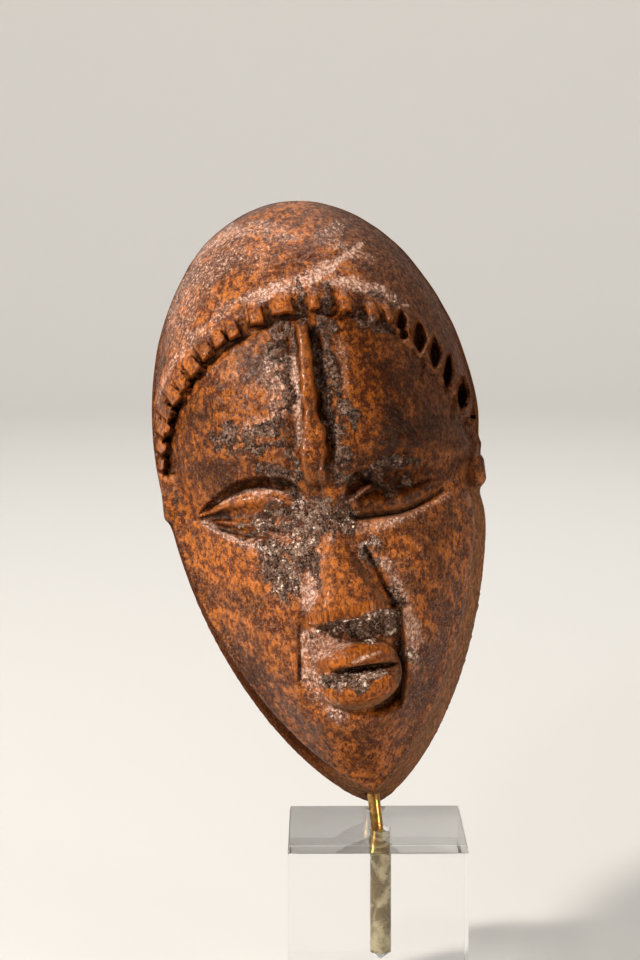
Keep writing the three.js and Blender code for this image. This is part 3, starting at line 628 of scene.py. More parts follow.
def between(levels, depths):
    """A cross-section that runs up through level curves (each a row of y by x), eased from one depth to
    the next."""
    total = np.full(GRID_X.shape, float(depths[0]))
    for low, high, before, after in zip(levels[:-1], levels[1:], depths[:-1], depths[1:]):
        gap = np.maximum(high - low, 0.05)[:, None]
        share = np.clip((GRID_Y - low[:, None]) / gap, 0, 1)
        total += (after - before) * share * share * (3 - 2 * share)
    return total


BROW_ROW = curve_at(BROW, SHEET_XS)


def left_eye():
    """The left eye's depth below the face: bevel, lower lid, slit, upper lid, groove under the brow."""
    cheek = curve_at(LEFT_CHEEK_EDGE, SHEET_XS)
    under = curve_at(LEFT_UNDER_LID, SHEET_XS)
    slit = curve_at(LEFT_SLIT, SHEET_XS)
    lid = np.maximum(curve_at(LEFT_LID_TOP, SHEET_XS), slit + 0.15)
    brow = np.maximum(BROW_ROW, lid + 0.3)
    open_by = eased(SHEET_XS, -24, -19) * (1 - eased(SHEET_XS, -7, -3.6))
    levels = [
        cheek, under - 0.1, under + 0.25, (under + slit) / 2 - 0.1, slit - 0.55 * open_by,
        slit + 0.4 * open_by, slit + (lid - slit) * 0.55, lid - 0.25, lid + 0.3, brow - 0.25,
    ]
    depths = [0, -1.8, -1.7, -0.4, -1.6, -1.7, 0.35, -0.2, -1.2, -1.5]
    return between(levels, depths) * open_by[:, None] * (GRID_X < -2)


def right_eye():
    """The right eye: one heavy lid over a thin slit, in a hollow below the brow."""
    cheek = curve_at(RIGHT_CHEEK_EDGE, SHEET_XS)
    slit = np.maximum(curve_at(RIGHT_SLIT, SHEET_XS), cheek + 0.3)
    brow = np.maximum(BROW_ROW, slit + 3)
    open_by = eased(SHEET_XS, 1.8, 4.5) * (1 - eased(SHEET_XS, 15, 23))
    levels = [cheek - 0.7, cheek, slit - 0.1, slit + 0.2, slit + 0.8, slit + 2.3, slit + 4.2, brow - 0.3]
    depths = [0, 0.15, -1.7, -1.9, -0.7, -0.35, -1.7, -2.4]
    return between(levels, depths) * open_by[:, None] * (GRID_X > 0)


def mouth_field():
    """How deep the field round the mouth is sunk: a thin cut at its left, a steep wall at its right."""
    left = curve_at(FIELD_LEFT, SHEET_YS)[None, :]
    right = curve_at(FIELD_RIGHT, SHEET_YS)[None, :]
    from_left = GRID_X - left
    from_right = right - GRID_X
    slope = 0.25 * eased(from_left, -0.1, 0.2) + 0.75 * eased(from_left, 0.2, 5.5)
    across = slope * eased(from_right, -0.25, 0.7)
    low = eased(GRID_Y, FIELD_BOTTOM - 1.2, FIELD_BOTTOM + 2.2)
    return FIELD_DEEP * across * low * (1 - eased(GRID_Y, FIELD_TOP + 0.4, FIELD_TOP + 1.2))


def with_grooves(height, cuts):
    """The sheet with a groove along each line, fading out at both its ends."""
    for points, width, depth in cuts:
        away, _, along = line_distance(points)
        ends = eased(along, 0, 0.12) * (1 - eased(along, 0.88, 1))
        height = height - depth * bell(away, width) * ends
    return height


def make_face_height():
    fraction, inset = edge_fraction()
    half_width = half_width_at(GRID_Y, HALF_WIDTH, RIM_CROWN, CHIN) - WALL_INSET_RIGHT
    sideways = np.minimum(np.abs(GRID_X) / np.maximum(half_width, 0.5), 1)
    rise = (1 - sideways**FACE_ROUNDNESS) * (1 - np.minimum(fraction, 1) ** FACE_EDGE_POWER)
    height = WALL_HEIGHT + (curve_at(FACE_PROFILE, GRID_Y) - WALL_HEIGHT) * rise
    return with_grooves(height + left_eye() + right_eye() - mouth_field(), FACE_CUTS), inset


def band_places():
    """The distance outside the band's lower edge, and how much of the band's right side each place is."""
    away, side, along = line_distance(BAND_EDGE)
    return away * side, eased(along, 0.66, 0.8)


def seen_from(x, y, degrees):
    """The grid's places from a spot: how far to the right of a direction, and how far along it."""
    lean = math.radians(degrees)
    x, y = GRID_X - x, GRID_Y - y
    return x * math.sin(lean) - y * math.cos(lean), x * math.cos(lean) + y * math.sin(lean)


def make_dome_relief():
    """How far the head stands above the dome (or below it), and where the teeth are."""
    outside, right_side = band_places()
    sunk = FOREHEAD_SUNK * (1 - 0.45 * right_side)
    crown_share = 1 - right_side
    # The gaps between the teeth climb outwards to the dome; at the right the edge is one short slope
    ramp = np.clip(1 - outside / BAND_LENGTH, 0, 1)
    slope = 1 - eased(outside, -0.5, 0.6)
    relief = -sunk * (ramp * crown_share + slope * right_side)
    relief -= TOOTH_FOOT * crown_share * eased(outside, -0.5, 0.1) * ramp
    # Teeth: pillows with a steep foot and right side and a gentle left side, running out into the dome
    wobble = on_grid(noise(GRID_POINTS, 1.1, 61)) * 0.08
    teeth = np.zeros(GRID_X.shape)
    for x, y, length, width, lean, rise in TEETH:
        u, v = seen_from(x, y, lean)
        u, v = u / (width / 2), v / (length / 2)
        right_flank, left_flank = eased(u + wobble, 0.78, 1.06), eased(-u + wobble, 0.62, 1.12)
        cut_off = np.maximum(np.where(u > 0, right_flank, left_flank), eased(-v + wobble, 0.82, 1.06))
        top = rise * (1 - eased(v, 0.1, 1.2)) * (1 - 0.35 * (u + 0.15) ** 2)
        block = top - 0.3 * eased(v, 1.1, 1.6) - (rise + sunk + 1.0) * cut_off
        relief = np.where((np.abs(u) < 1.6) & (np.abs(v) < 1.9), smooth_max(relief, block, 0.12), relief)
        teeth = np.maximum(teeth, (1 - cut_off) * (1 - eased(v, 0.5, 1.1)))
    relief -= TOOTH_FOOT * bell(outside + 0.25, 0.35) * crown_share
    # The dark notches at the right, the first of them with a round hole at its foot
    for x, y, length, width, lean in NOTCHES:
        u, v = seen_from(x, y, lean)
        shape = np.abs(u) / (width / 2) + (np.abs(v) / (length / 2)) ** 1.7
        relief -= NOTCH_DEPTH * (1 - eased(shape + wobble, 0.45, 1.12))
        relief += 0.22 * bell(shape - 1.35, 0.22)
    x, y, radius = NOTCH_HOLE
    away = np.hypot(GRID_X - x, GRID_Y - y)
    relief += 0.9 * bell(away - radius - 0.25, 0.2) * (GRID_Y > y)
    relief -= 1.6 * (1 - eased(away, radius - 0.35, radius + 0.05))
    # The ridge and the grooves beside it
    ridge_x, ridge_y, ridge_half = np.array(RIDGE).T
    away, side, _ = line_distance(list(zip(ridge_x, ridge_y)))
    half = np.interp(GRID_Y, ridge_y[::-1], ridge_half[::-1]) + on_grid(noise(GRID_POINTS, 2.2, 71)) * 0.2
    reach = (1 - eased(GRID_Y, 25.2, 26.2)) * eased(GRID_Y, -2.4, -0.6)
    relief += RIDGE_RISE * (1 - eased(away, half - 0.3, half + 0.3)) * reach
    sides = (1 - eased(GRID_Y, 23.6, 26.4)) * eased(GRID_Y, 0, 3)
    for at_side, depth, apart, width in RIDGE_GROOVES:
        relief -= depth * bell(away - half - apart, width) * sides * (side == at_side)
    x, y, radius, thickness = CRUST_RING
    away = np.hypot(GRID_X - x, GRID_Y - y)
    relief += 1.1 * bell(away - radius, thickness) * (1 - eased(x - GRID_X, 0.1, 0.5))
    # Soft hollow above the right brow
    hollow_share = eased(GRID_X, 3, 7) * (1 - 0.8 * eased(GRID_X, 12, 19))
    relief -= 1.2 * hollow_share * (1 - eased(GRID_Y - BROW_ROW[:, None], 0, 2.6))
    return with_grooves(relief, DOME_CUTS), teeth


def make_painted_shade_and_patina(teeth):
    """Painted shade and darker patina: on the forehead, at the head's right, between the teeth and in
    painted strokes.
    """
    outside, right_side = band_places()
    above = eased(GRID_Y - BROW_ROW[:, None], -0.4, 0.4)
    forehead = above * (1 - eased(outside, -0.4, 0.6))
    to_right = eased(GRID_X, 2, 12)
    painted_shade_and_patina = forehead * (0.34 + 0.46 * to_right)
    painted_shade_and_patina = np.maximum(painted_shade_and_patina, 0.42 * above * eased(GRID_X + 0.4 * (GRID_Y - 24), 12, 22))
    gaps = eased(outside, -0.7, 0) * (1 - eased(outside, 1.2, 2.8)) * (1 - right_side) * above
    painted_shade_and_patina = np.maximum(painted_shade_and_patina, 0.6 * gaps)
    painted_shade_and_patina = np.maximum(painted_shade_and_patina, strokes(PAINTED_SHADE_AND_PATINA, 61, ragged=0.5, soft=1.2)) * (1 - 0.9 * teeth)
    return painted_shade_and_patina * (1 - 0.8 * strokes(SPARED, 62, ragged=0.3, soft=0.8))


face_height_grid, inset_grid = make_face_height()
dome_relief_grid, teeth_grid = make_dome_relief()
soft_noise = on_grid(noise(GRID_POINTS, 9, 5)) * 0.22 + on_grid(noise(GRID_POINTS, 3.6, 6)) * 0.09
face_height_grid = face_height_grid + soft_noise
dome_relief_grid = dome_relief_grid + soft_noise
slopes = np.gradient(blurred(face_height_grid, 0.4), SHEET_STEP)
slope_x, slope_y = (np.clip(slope, -2, 2) for slope in slopes)
face_height = sheet_reader(face_height_grid)
face_steepness = sheet_reader(1 / np.sqrt(1 + slope_x**2 + slope_y**2))
rim_inset = sheet_reader(inset_grid)
rim_distance = sheet_reader(egg_distance(HALF_WIDTH, RIM_CROWN, CHIN))
hollow_distance = sheet_reader(egg_distance(HOLLOW_HALF_WIDTH, HOLLOW_CROWN, HOLLOW_CHIN))
dome_relief = sheet_reader(dome_relief_grid)
crust_grid = strokes(CRUST, 11, ragged=0.85, soft=1.5) * 1.25
crust_grid -= 0.75 * eased(on_grid(rough_noise(GRID_POINTS, 1.7, 15, 4)), -0.05, 0.45)
crust_grid = np.clip(crust_grid, 0, 1)
crust_sheet = sheet_reader(crust_grid)
dust_and_highlight_sheet = sheet_reader(strokes(DUST_AND_HIGHLIGHTS, 21, ragged=0.8, soft=1.2))
stain_sheet = sheet_reader(strokes(STAINS, 31, ragged=0.6, soft=1.4))
ember_sheet = sheet_reader(np.maximum(strokes(EMBERS, 41, ragged=0.5, soft=1.5), 0.85 * teeth_grid))
painted_shade_and_patina_sheet = sheet_reader(make_painted_shade_and_patina(teeth_grid))
ends_sheet = sheet_reader(strokes(END_GRAIN, 51, ragged=0.3, soft=0.8))
above_brow = GRID_Y > BROW_ROW[:, None]
carved = np.where(above_brow, dome_relief_grid, face_height_grid)
# How far each place lies below its surroundings; the wood material darkens this as painted shade, less at
# the outer ends of the gaps between the teeth
band_outside, band_right = band_places()
open_gap = eased(band_outside, 0.9, 2.6) * (1 - band_right) * (GRID_Y > 4)
dome_cavity, face_cavity = (blurred(grid, 1.1) - grid for grid in (dome_relief_grid, face_height_grid))
cavity_grid = np.clip(np.where(above_brow, dome_cavity, face_cavity), -1, 1)
cavity_sheet = sheet_reader(np.where(cavity_grid > 0, cavity_grid * (1 - 0.85 * open_gap), cavity_grid))
detail_grid = np.clip(np.hypot(*np.gradient(carved, SHEET_STEP)) - 0.55, 0, 1) + crust_grid
detail_sheet = sheet_reader(blurred(np.clip(detail_grid, 0, 1), 0.8))


# The mask as one field: negative inside the wood

def ellipsoid(x, y, z, at, radii, turn=0):
    """About the distance to an ellipsoid, turned in the face's plane by some degrees."""
    x, y, z = x - at[0], y - at[1], z - at[2]
    if turn:
        cos, sin = math.cos(math.radians(turn)), math.sin(math.radians(turn))
        x, y = x * cos + y * sin, y * cos - x * sin
    x, y, z = x / radii[0], y / radii[1], z / radii[2]
    reach = np.sqrt(x * x + y * y + z * z)
    slope = np.sqrt((x / radii[0]) ** 2 + (y / radii[1]) ** 2 + (z / radii[2]) ** 2)
    return reach * (reach - 1) / np.maximum(slope, 1e-6)


def hull_planes(corners):
    """The planes of the convex body through corners, each as a normal and a distance."""
    corners = np.array(corners, float)
    middle = corners.mean(axis=0)
    planes = []
    for a, b, c in combinations(corners, 3):
        normal = np.cross(b - a, c - a)
        length = np.linalg.norm(normal)
        if length < 1e-6:
            continue
        normal /= length
        reach = normal @ a
        if normal @ middle > reach:
            normal, reach = -normal, -reach
        if (corners @ normal < reach + 1e-6).all():
            planes.append((*normal, reach))
    return np.unique(np.round(planes, 5), axis=0)


NOSE_BODIES = [hull_planes(NOSE_RIDGE), hull_planes(NOSE_WINGS)]


def capsule(points, start, end, radius):
    start = np.array(start)
    way = np.array(end) - start
    share = np.clip((points - start) @ way / (way @ way), 0, 1)
    return np.linalg.norm(points - start - share[:, None] * way, axis=1) - radius


def convex(x, y, z, planes, rounding):
    total = 0.0
    for nx, ny, nz, reach in planes:
        total = total + np.exp(np.clip((nx * x + ny * y + nz * z - reach) / rounding, -60, 60))
    return rounding * np.log(total)


def box(x, y, z, low, high, rounding):
    middle = [(a + b) / 2 for a, b in zip(low, high)]
    half = [(b - a) / 2 - rounding for a, b in zip(low, high)]
    away = [np.abs(value - m) - h for value, m, h in zip((x, y, z), middle, half)]
    outer = np.sqrt(sum(np.maximum(value, 0) ** 2 for value in away))
    return outer + np.minimum(np.maximum(away[0], np.maximum(away[1], away[2])), 0) - rounding


def hollow(x, y, z):
    share = np.interp(z, *np.array(HOLLOW_DEPTHS).T)
    return np.maximum(hollow_distance(x / share, y / share) * share, z - HOLLOW_END)


def wood(points):
    """The carved wood: negative inside."""
    x, y, z = points[:, 0], points[:, 1], points[:, 2]
    front = (z - face_height(x, y)) * face_steepness(x, y)
    neck = 2.0 * eased(x, 12, 22) * bell(y + 0.5, 5)
    wall = rim_distance(x, y) + neck + rim_inset(x, y) * z / WALL_HEIGHT
    rounding = 0.4 + 0.9 * eased(x, 6, 18) * eased(y, -48, -26)
    body = smooth_max(front, wall, rounding)
    body = smooth_max(body, (y - 4.5) * 0.9, 0.4)
    turned = x + DOME_TURN * (y - WIDEST) + 0.9 * eased(x, 10, 24) * bell(y - 4, 5)
    dome = ellipsoid(turned, y, z, (DOME_X, WIDEST, 0), (DOME_HALF_WIDTH, CROWN - WIDEST, DOME_HEIGHT))
    dome = dome - dome_relief(x, y) * eased(z, 1, 4)
    # The brow is cut straight at the left and slopes at the right
    slant = 0.75 * eased(x, 5, 10)
    level = DOME_HEIGHT * np.sqrt(np.maximum(1 - (x / DOME_HALF_WIDTH) ** 2, 0)) - FOREHEAD_SUNK
    brow = (np.interp(x, SHEET_XS, BROW_ROW) + slant * (z - level) - y) * 0.93 / np.sqrt(1 + slant**2)
    body = smooth_min(body, smooth_max(dome, brow, 0.35 + slant), 0.3 + 1.4 * eased(x, 11, 17))
    mouth = smooth_min(ellipsoid(x, y, z, *MUZZLE), ellipsoid(x, y, z, *UPPER_LIP), 0.5)
    mouth = smooth_min(mouth, ellipsoid(x, y, z, *LOWER_LIP), 0.5)
    body = smooth_min(body, mouth, 0.5)
    body = smooth_max(body, -ellipsoid(x, y, z, *MOUTH), 0.35)
    body = smooth_max(body, -ellipsoid(x, y, z, *MOUTH_SLOT), 0.2)
    ridge, wings = NOSE_BODIES
    nose = smooth_min(convex(x, y, z, ridge, 0.42), convex(x, y, z, wings, 0.26), 0.8)
    body = smooth_min(body, nose, 0.4)
    body = smooth_min(body, capsule(points, *BRIDGE), 1.2)
    for side in (-1, 1):
        at_right = side > 0
        left, right = sorted([side * (HALF_WIDTH - 4), side * (LUG_REACH - 0.7 * at_right)])
        low, high = (left, LUG_BOTTOM, LUG_BACK), (right, LUG_TOP, LUG_FRONT)
        body = smooth_min(body, box(x, y, z, low, high, 1.1 + 0.6 * at_right), 0.6)
    body = smooth_max(body, -z, 0.4)
    body = smooth_max(body, -hollow(x, y, z), 0.8)
    hole = np.hypot(x - ROD_ACROSS, z - ROD_ABOVE_RIM) - ROD_RADIUS - FIT_GAP
    hole = np.maximum(hole, y - (CHIN_AT_ROD + ROD_IN_CHIN + FIT_GAP))
    return smooth_max(body, -hole, 0.15)


def gradient(field, points, step=0.04):
    slopes = [(field(points + shift) - field(points - shift)) / (2 * step) for shift in np.eye(3) * step]
    return np.stack(slopes, axis=1)


# Meshes from fields

def surface_net(field, low, high, step):
    """A triangle net round the zero level of a field, one corner to each cell that it crosses."""
    axes = [np.arange(a, b + step, step) for a, b in zip(low, high)]
    grid = np.stack(np.meshgrid(*axes, indexing="ij"), axis=-1)
    values = field(grid.reshape(-1, 3)).reshape(grid.shape[:3])
    inside = values < 0
    corners = list(product((0, 1), repeat=3))
    cells = tuple(size - 1 for size in values.shape)

    def at(array, corner):
        return array[tuple(slice(c, c + n) for c, n in zip(corner, cells))]

    count = sum(at(inside, corner).astype(int) for corner in corners)
    active = (count > 0) & (count < 8)
    index = np.full(cells, -1)
    index[active] = np.arange(active.sum())
    total = np.zeros((active.sum(), 3))
    hits = np.zeros(active.sum())
    for a, way in product(corners, np.eye(3, dtype=int)[::-1]):
        if way @ a:
            continue
        value_a, value_b = (at(values, corner)[active] for corner in (a, way + a))
        crosses = (value_a < 0) != (value_b < 0)
        share = np.where(crosses, value_a / np.where(crosses, value_a - value_b, 1), 0)
        total += (np.array(a) + share[:, None] * way) * crosses[:, None]
        hits += crosses
    points = np.array(low) + (np.argwhere(active) + total / hits[:, None]) * step
    quads = []
    for axis in range(3):
        others = [other for other in range(3) if other != axis]
        spots = np.argwhere(np.diff(inside, axis=axis))
        within = (spots[:, others] > 0) & (spots[:, others] < np.array(cells)[others])
        spots = spots[within.all(axis=1)]
        around = []
        for shift in ((-1, -1), (0, -1), (0, 0), (-1, 0)):
            moved = spots.copy()
            moved[:, others] += shift
            around.append(index[tuple(moved.T)])
        quad = np.stack(around, axis=1)
        flip = inside[tuple(spots.T)] != (axis == 1)
        quad[~flip] = quad[~flip][:, ::-1]
        quads.append(quad)
    quads = np.concatenate(quads)
    return points, np.concatenate([quads[:, [0, 1, 2]], quads[:, [0, 2, 3]]])


# How a triangle is divided for each set of halved edges: corners are 0 to 2, and the middles of the edges
# after them 3 to 5
SPLITS = (
    ((0, 0, 0), [(0, 1, 2)]),
    ((1, 0, 0), [(0, 3, 2), (3, 1, 2)]),
    ((1, 1, 0), [(3, 1, 4), (0, 3, 4), (0, 4, 2)]),
    ((0, 1, 0), [(1, 4, 0), (4, 2, 0)]),
    ((0, 1, 1), [(4, 2, 5), (1, 4, 5), (1, 5, 0)]),
    ((0, 0, 1), [(2, 5, 1), (5, 0, 1)]),
    ((1, 0, 1), [(5, 0, 3), (2, 5, 3), (2, 3, 1)]),
    ((1, 1, 1), [(0, 3, 5), (3, 1, 4), (5, 4, 2), (3, 4, 5)]),
)
TOO_LONG = 1.35


def split_long(points, faces, wanted):
    """Halves each edge that is much longer than wanted there."""
    sides = np.sort(np.concatenate([faces[:, [0, 1]], faces[:, [1, 2]], faces[:, [2, 0]]]), axis=1)
    keys = sides[:, 0] * len(points) + sides[:, 1]
    _, first, inverse = np.unique(keys, return_index=True, return_inverse=True)
    ends = points[sides[first]]
    middle = (ends[:, 0] + ends[:, 1]) / 2
    split = np.linalg.norm(ends[:, 0] - ends[:, 1], axis=1) > TOO_LONG * wanted(middle)
    fresh = np.full(len(first), -1)
    fresh[split] = len(points) + np.arange(split.sum())
    marks = fresh[inverse.reshape(3, -1)].T
    six = np.concatenate([faces, marks], axis=1)
    made = []
    for halved, trios in SPLITS:
        chosen = six[((marks >= 0) == np.array(halved, bool)).all(axis=1)]
        made += [chosen[:, trio] for trio in trios]
    return np.concatenate([points, middle[split]]), np.concatenate(made)


def relaxed(points, faces, amount):
    """Each point moved part of the way to the middle of its neighbours."""
    total = np.zeros_like(points)
    count = np.zeros(len(points))
    for a, b in ((0, 1), (1, 2), (2, 0)):
        for here, there in ((faces[:, a], faces[:, b]), (faces[:, b], faces[:, a])):
            count += np.bincount(here, minlength=len(points))
            for axis in range(3):
                total[:, axis] += np.bincount(here, weights=points[there, axis], minlength=len(points))
    return points + (total / np.maximum(count, 1)[:, None] - points) * amount


def settled(field, points, rounds):
    """Points moved on to the field's surface."""
    for _ in range(rounds):
        slope = gradient(field, points)
        size = np.maximum((slope**2).sum(axis=1), LEAST_SLOPE)
        move = -slope * (field(points) / size)[:, None]
        length = np.maximum(np.linalg.norm(move, axis=1), 1e-9)
        points = points + move * np.minimum(1, LONGEST_MOVE / length)[:, None]
    return points


def wanted_edge(points):
    """The edge length wanted at each place: short on carving and crust, long on the back."""
    x, y, z = points.T
    back = 1 - eased(hollow(x, y, z), 0.8, 2.2) * eased(z, 2, 6)
    detail = eased(detail_sheet(x, y), 0.12, 0.45)
    nose = eased(z, 23.6, 24.2) * (y < NOSE_FROM)
    front = EDGE_FRONT + (EDGE_DETAIL - EDGE_FRONT) * np.maximum(detail, nose)
    rim = eased(rim_distance(x, y), -2.2, -1.2)
    rear = EDGE_BACK + (EDGE_FRONT - EDGE_BACK) * rim
    return front + (rear - front) * back


mask_points, mask_faces = surface_net(wood, NET_LOW, NET_HIGH, NET_STEP)
for _ in range(3):
    mask_points, mask_faces = split_long(mask_points, mask_faces, wanted_edge)
    mask_points = settled(wood, relaxed(mask_points, mask_faces, 0.4), 2)
mask_points = settled(wood, relaxed(mask_points, mask_faces, 0.3), 3)
assert len(mask_faces) < MOST_TRIANGLES, len(mask_faces)


# What each point of the mask is: crust, dust, stain and so on

mask_normals = gradient(wood, mask_points)
mask_normals /= np.maximum(np.linalg.norm(mask_normals, axis=1), 1e-6)[:, None]
px, py, pz = mask_points.T
from_hollow = hollow(px, py, pz)
faces_out = mask_normals[:, 2]
is_front = eased(from_hollow, 0.8, 2.0) * eased(faces_out, -0.1, 0.25) * eased(pz, 2, 6)
in_hollow = 1 - eased(from_hollow, 0.2, 1.2)
wall_share = (1 - eased(faces_out, 0.1, 0.55)) * (1 - in_hollow)
crust = crust_sheet(px, py) * is_front
lifted = eased(pz - face_height(px, py), 0.6, 1.4) * (1 - eased(py, NOSE_FROM, -9))
cavity = cavity_sheet(px, py) * is_front * (1 - lifted)
traits = {
    "crust": crust,
    "dust_and_highlights": dust_and_highlight_sheet(px, py) * is_front,
    "stain": stain_sheet(px, py) * is_front + 1.2 * wall_share * (1 - eased(px, -9, 1)),
    "ember": ember_sheet(px, py) * is_front,
    "painted_shade_and_patina": painted_shade_and_patina_sheet(px, py) * is_front,
    "ends": ends_sheet(px, py) * is_front,
    "cavity": np.clip(cavity * 1.6, 0, 1),
    "raised": np.clip(np.maximum(-cavity * 2.2, 0.12 * lifted * is_front), 0, 1),
    "rim": wall_share,
    "wall": wall_share * (1 - eased(py, -6, 6)) * eased(px, -9, 1),
    # The head's right side: painted shade and painted reflection over thinner patina
    "dull_and_shaded": eased(px + 0.32 * (py - 8), 12, 24) * eased(py, -8, 4) * (1 - in_hollow),
    "hollow": np.clip(in_hollow + (1 - eased(pz, -0.1, 0.6)), 0, 1),
}
# The crust's lumps, tool marks in the hollow and the grain of the wood, as a rise along the normals
near, second = pebbles(mask_points, 0.62, 101)
lumps = (second - near) * 0.22 + rough_noise(mask_points, 1.5, 103) * 0.32
tool = noise(mask_points * [1, 0.35, 1], 2.6, 107) * 0.22 + noise(mask_points * [1, 0.5, 1], 1.3, 108) * 0.1
rise = eased(crust, 0.25, 0.7) * (0.1 + lumps)
rise += tool * traits["hollow"] * 0.9
rise += noise(mask_points * [1, 0.3, 1], 0.7, 109) * 0.035 * is_front
mask_points = mask_points + mask_normals * rise[:, None]


def smooth_mesh(name, points, faces, smooth=True):
    """A mesh object from points in metres."""
    mesh = bpy.data.meshes.new(name)
    mesh.from_pydata(points.tolist(), [], faces.tolist() if isinstance(faces, np.ndarray) else faces)
    mesh.validate()
    mesh.polygons.foreach_set("use_smooth", [smooth] * len(mesh.polygons))
    mesh.update()
    made = bpy.data.objects.new(name, mesh)
    bpy.context.scene.collection.objects.link(made)
    return made


def add_traits(made, values):
    for name, numbers in values.items():
        attribute = made.data.attributes.new(name, "FLOAT", "POINT")
        attribute.data.foreach_set("value", np.asarray(numbers, dtype=np.float32))


# Where the mask stands: upright facing -Y, rolled sideways, leant back, and set on the rod's end
upright = Matrix.Rotation(math.pi / 2, 4, "X")
rolled = Matrix.Rotation(-MASK_ROLL, 4, "Y")
leant = Matrix.Rotation(-MASK_LEAN, 4, "X")
turned = leant @ rolled @ upright
rod_start = Vector((ROD_ACROSS, CHIN_AT_ROD - ROD_SHOWING, ROD_ABOVE_RIM))
offset = Vector((ROD_AT_MOUTH_X, 0, BLOCK_SIDE)) - turned @ rod_start


def in_frame(points):
    """Points of the mask's own axes, in the shared frame's metres."""
    return (points @ np.array(turned.to_3x3()).T + np.array(offset)) * MM


mask = smooth_mesh("carved_mask", in_frame(mask_points), mask_faces)
add_traits(mask, traits)
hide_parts("mask")
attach(mask, "root")


# The crust's own grains, set into the wood where the crust is thick

def make_ico():
    """The corners and faces of a ball of twenty triangles."""
    golden = (1 + 5**0.5) / 2
    corners = []
    for a, b in product((-1, 1), (-golden, golden)):
        corners += [(0, a, b), (a, b, 0), (b, 0, a)]
    corners = np.array(corners, float)
    faces = []
    for trio in combinations(range(len(corners)), 3):
        a, b, c = corners[list(trio)]
        if all(abs(np.linalg.norm(p - q) - 2) < 0.01 for p, q in ((a, b), (b, c), (c, a))):
            outward = np.cross(b - a, c - a) @ a > 0
            faces.append(trio if outward else (trio[0], trio[2], trio[1]))
    return corners / np.linalg.norm(corners, axis=1)[:, None], np.array(faces)


OCTAHEDRON = (
    np.array([(1, 0, 0), (-1, 0, 0), (0, 1, 0), (0, -1, 0), (0, 0, 1), (0, 0, -1)], float),
    np.array([(0, 2, 4), (2, 1, 4), (1, 3, 4), (3, 0, 4), (2, 0, 5), (1, 2, 5), (3, 1, 5), (0, 3, 5)]),
)


def make_grains(count, seed, shape, sizes, scatter):
    """Small lumps strewn over the crusted wood: larger and closer where the crust is thickest."""
    rng = np.random.default_rng(seed)
    a, b, c = (mask_points[mask_faces[:, corner]] for corner in range(3))
    area = np.linalg.norm(np.cross(b - a, c - a), axis=1) / 2
    density = crust[mask_faces].mean(axis=1)
    clumps = 0.2 * rough_noise((a + b + c) / 3, 0.9, seed + 1)
    chance = area * eased(density + clumps * (density > 0.02), *scatter)
    chosen = rng.choice(len(mask_faces), size=count, p=chance / chance.sum())
    u, v = rng.random((2, count))
    over = u + v > 1
    u[over], v[over] = 1 - u[over], 1 - v[over]
    spots = a[chosen] + u[:, None] * (b - a)[chosen] + v[:, None] * (c - a)[chosen]
    ways = mask_normals[mask_faces[chosen, 0]]
    size = sizes[0] + (sizes[1] - sizes[0]) * rng.random(count) ** 2.2 * (0.5 + 0.5 * density[chosen])
    corners, faces = shape
    turns, _ = np.linalg.qr(rng.normal(size=(count, 3, 3)))
    shapes = corners[None] * (0.65 + 0.7 * rng.random((count, len(corners), 1)))
    shapes = shapes * (0.6 + 0.7 * rng.random((count, 1, 3)))
    shapes = np.einsum("nij,nkj->nki", turns, shapes) * size[:, None, None]
    shapes += (spots + ways * (size * 0.3)[:, None])[:, None, :]
    all_faces = (faces[None] + (np.arange(count) * len(corners))[:, None, None]).reshape(-1, 3)
    # Grains in painted shade are darker
    darker = 1 - 0.85 * painted_shade_and_patina_sheet(spots[:, 0], spots[:, 1])
    clumped = eased(noise(spots, 1.2, seed + 2), -0.4, 0.4)
    tones = np.repeat((0.5 * rng.random(count) + 0.5 * clumped) * darker, len(corners))
    return shapes.reshape(-1, 3), all_faces, tones


# How many grains of each kind, and their sizes in millimetres
LARGE_GRAINS = 3600
LARGE_SIZES = (0.1, 0.34)
SMALL_GRAINS = 14500
SMALL_SIZES = (0.05, 0.15)
large_points, large_faces, large_tones = make_grains(LARGE_GRAINS, 7, make_ico(), LARGE_SIZES, (0.3, 0.75))
small_points, small_faces, small_tones = make_grains(SMALL_GRAINS, 8, OCTAHEDRON, SMALL_SIZES, (0.08, 0.6))
grain_points = np.concatenate([large_points, small_points])
grain_faces = np.concatenate([large_faces, small_faces + len(large_points)])
grain_tones = np.concatenate([large_tones, 0.15 + 0.85 * small_tones])
crust_piece = smooth_mesh("crust_grains", in_frame(grain_points), grain_faces, smooth=False)
add_traits(crust_piece, {"tone": grain_tones})
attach(crust_piece, "root")


# Bodies made of rings: the rod, the block with its bore, the glue in it and the studio

def rings_to_mesh(name, rings, close_start=True, smooth=True):
    """A tube through rings of points, in millimetres, closed at its end and, if asked for, its start."""
    sides = len(rings[0])
    points = np.array([tuple(point) for ring in rings for point in ring]) * MM
    faces = []
    for ring, side in product(range(len(rings) - 1), range(sides)):
        a = ring * sides + side
        b = ring * sides + (side + 1) % sides
        faces.append((a, b, b + sides, a + sides))
    if close_start:
        faces.append(tuple(range(sides))[::-1])
    faces.append(tuple(range(len(points) - sides, len(points))))
    return smooth_mesh(name, points, faces, smooth)


def ring_at(middle, direction, radius, sides=ROUND_SIDES):
    direction = Vector(direction).normalized()
    across = direction.cross(Vector((0, 1, 0))).normalized()
    other = direction.cross(across).normalized()
    ways = [(math.cos(angle), math.sin(angle)) for angle in 2 * math.pi * np.arange(sides) / sides]
    return [Vector(middle) + across * (radius * x) + other * (radius * y) for x, y in ways]


def on_mask_axis(y):
    return turned @ Vector((ROD_ACROSS, y, ROD_ABOVE_RIM)) + offset


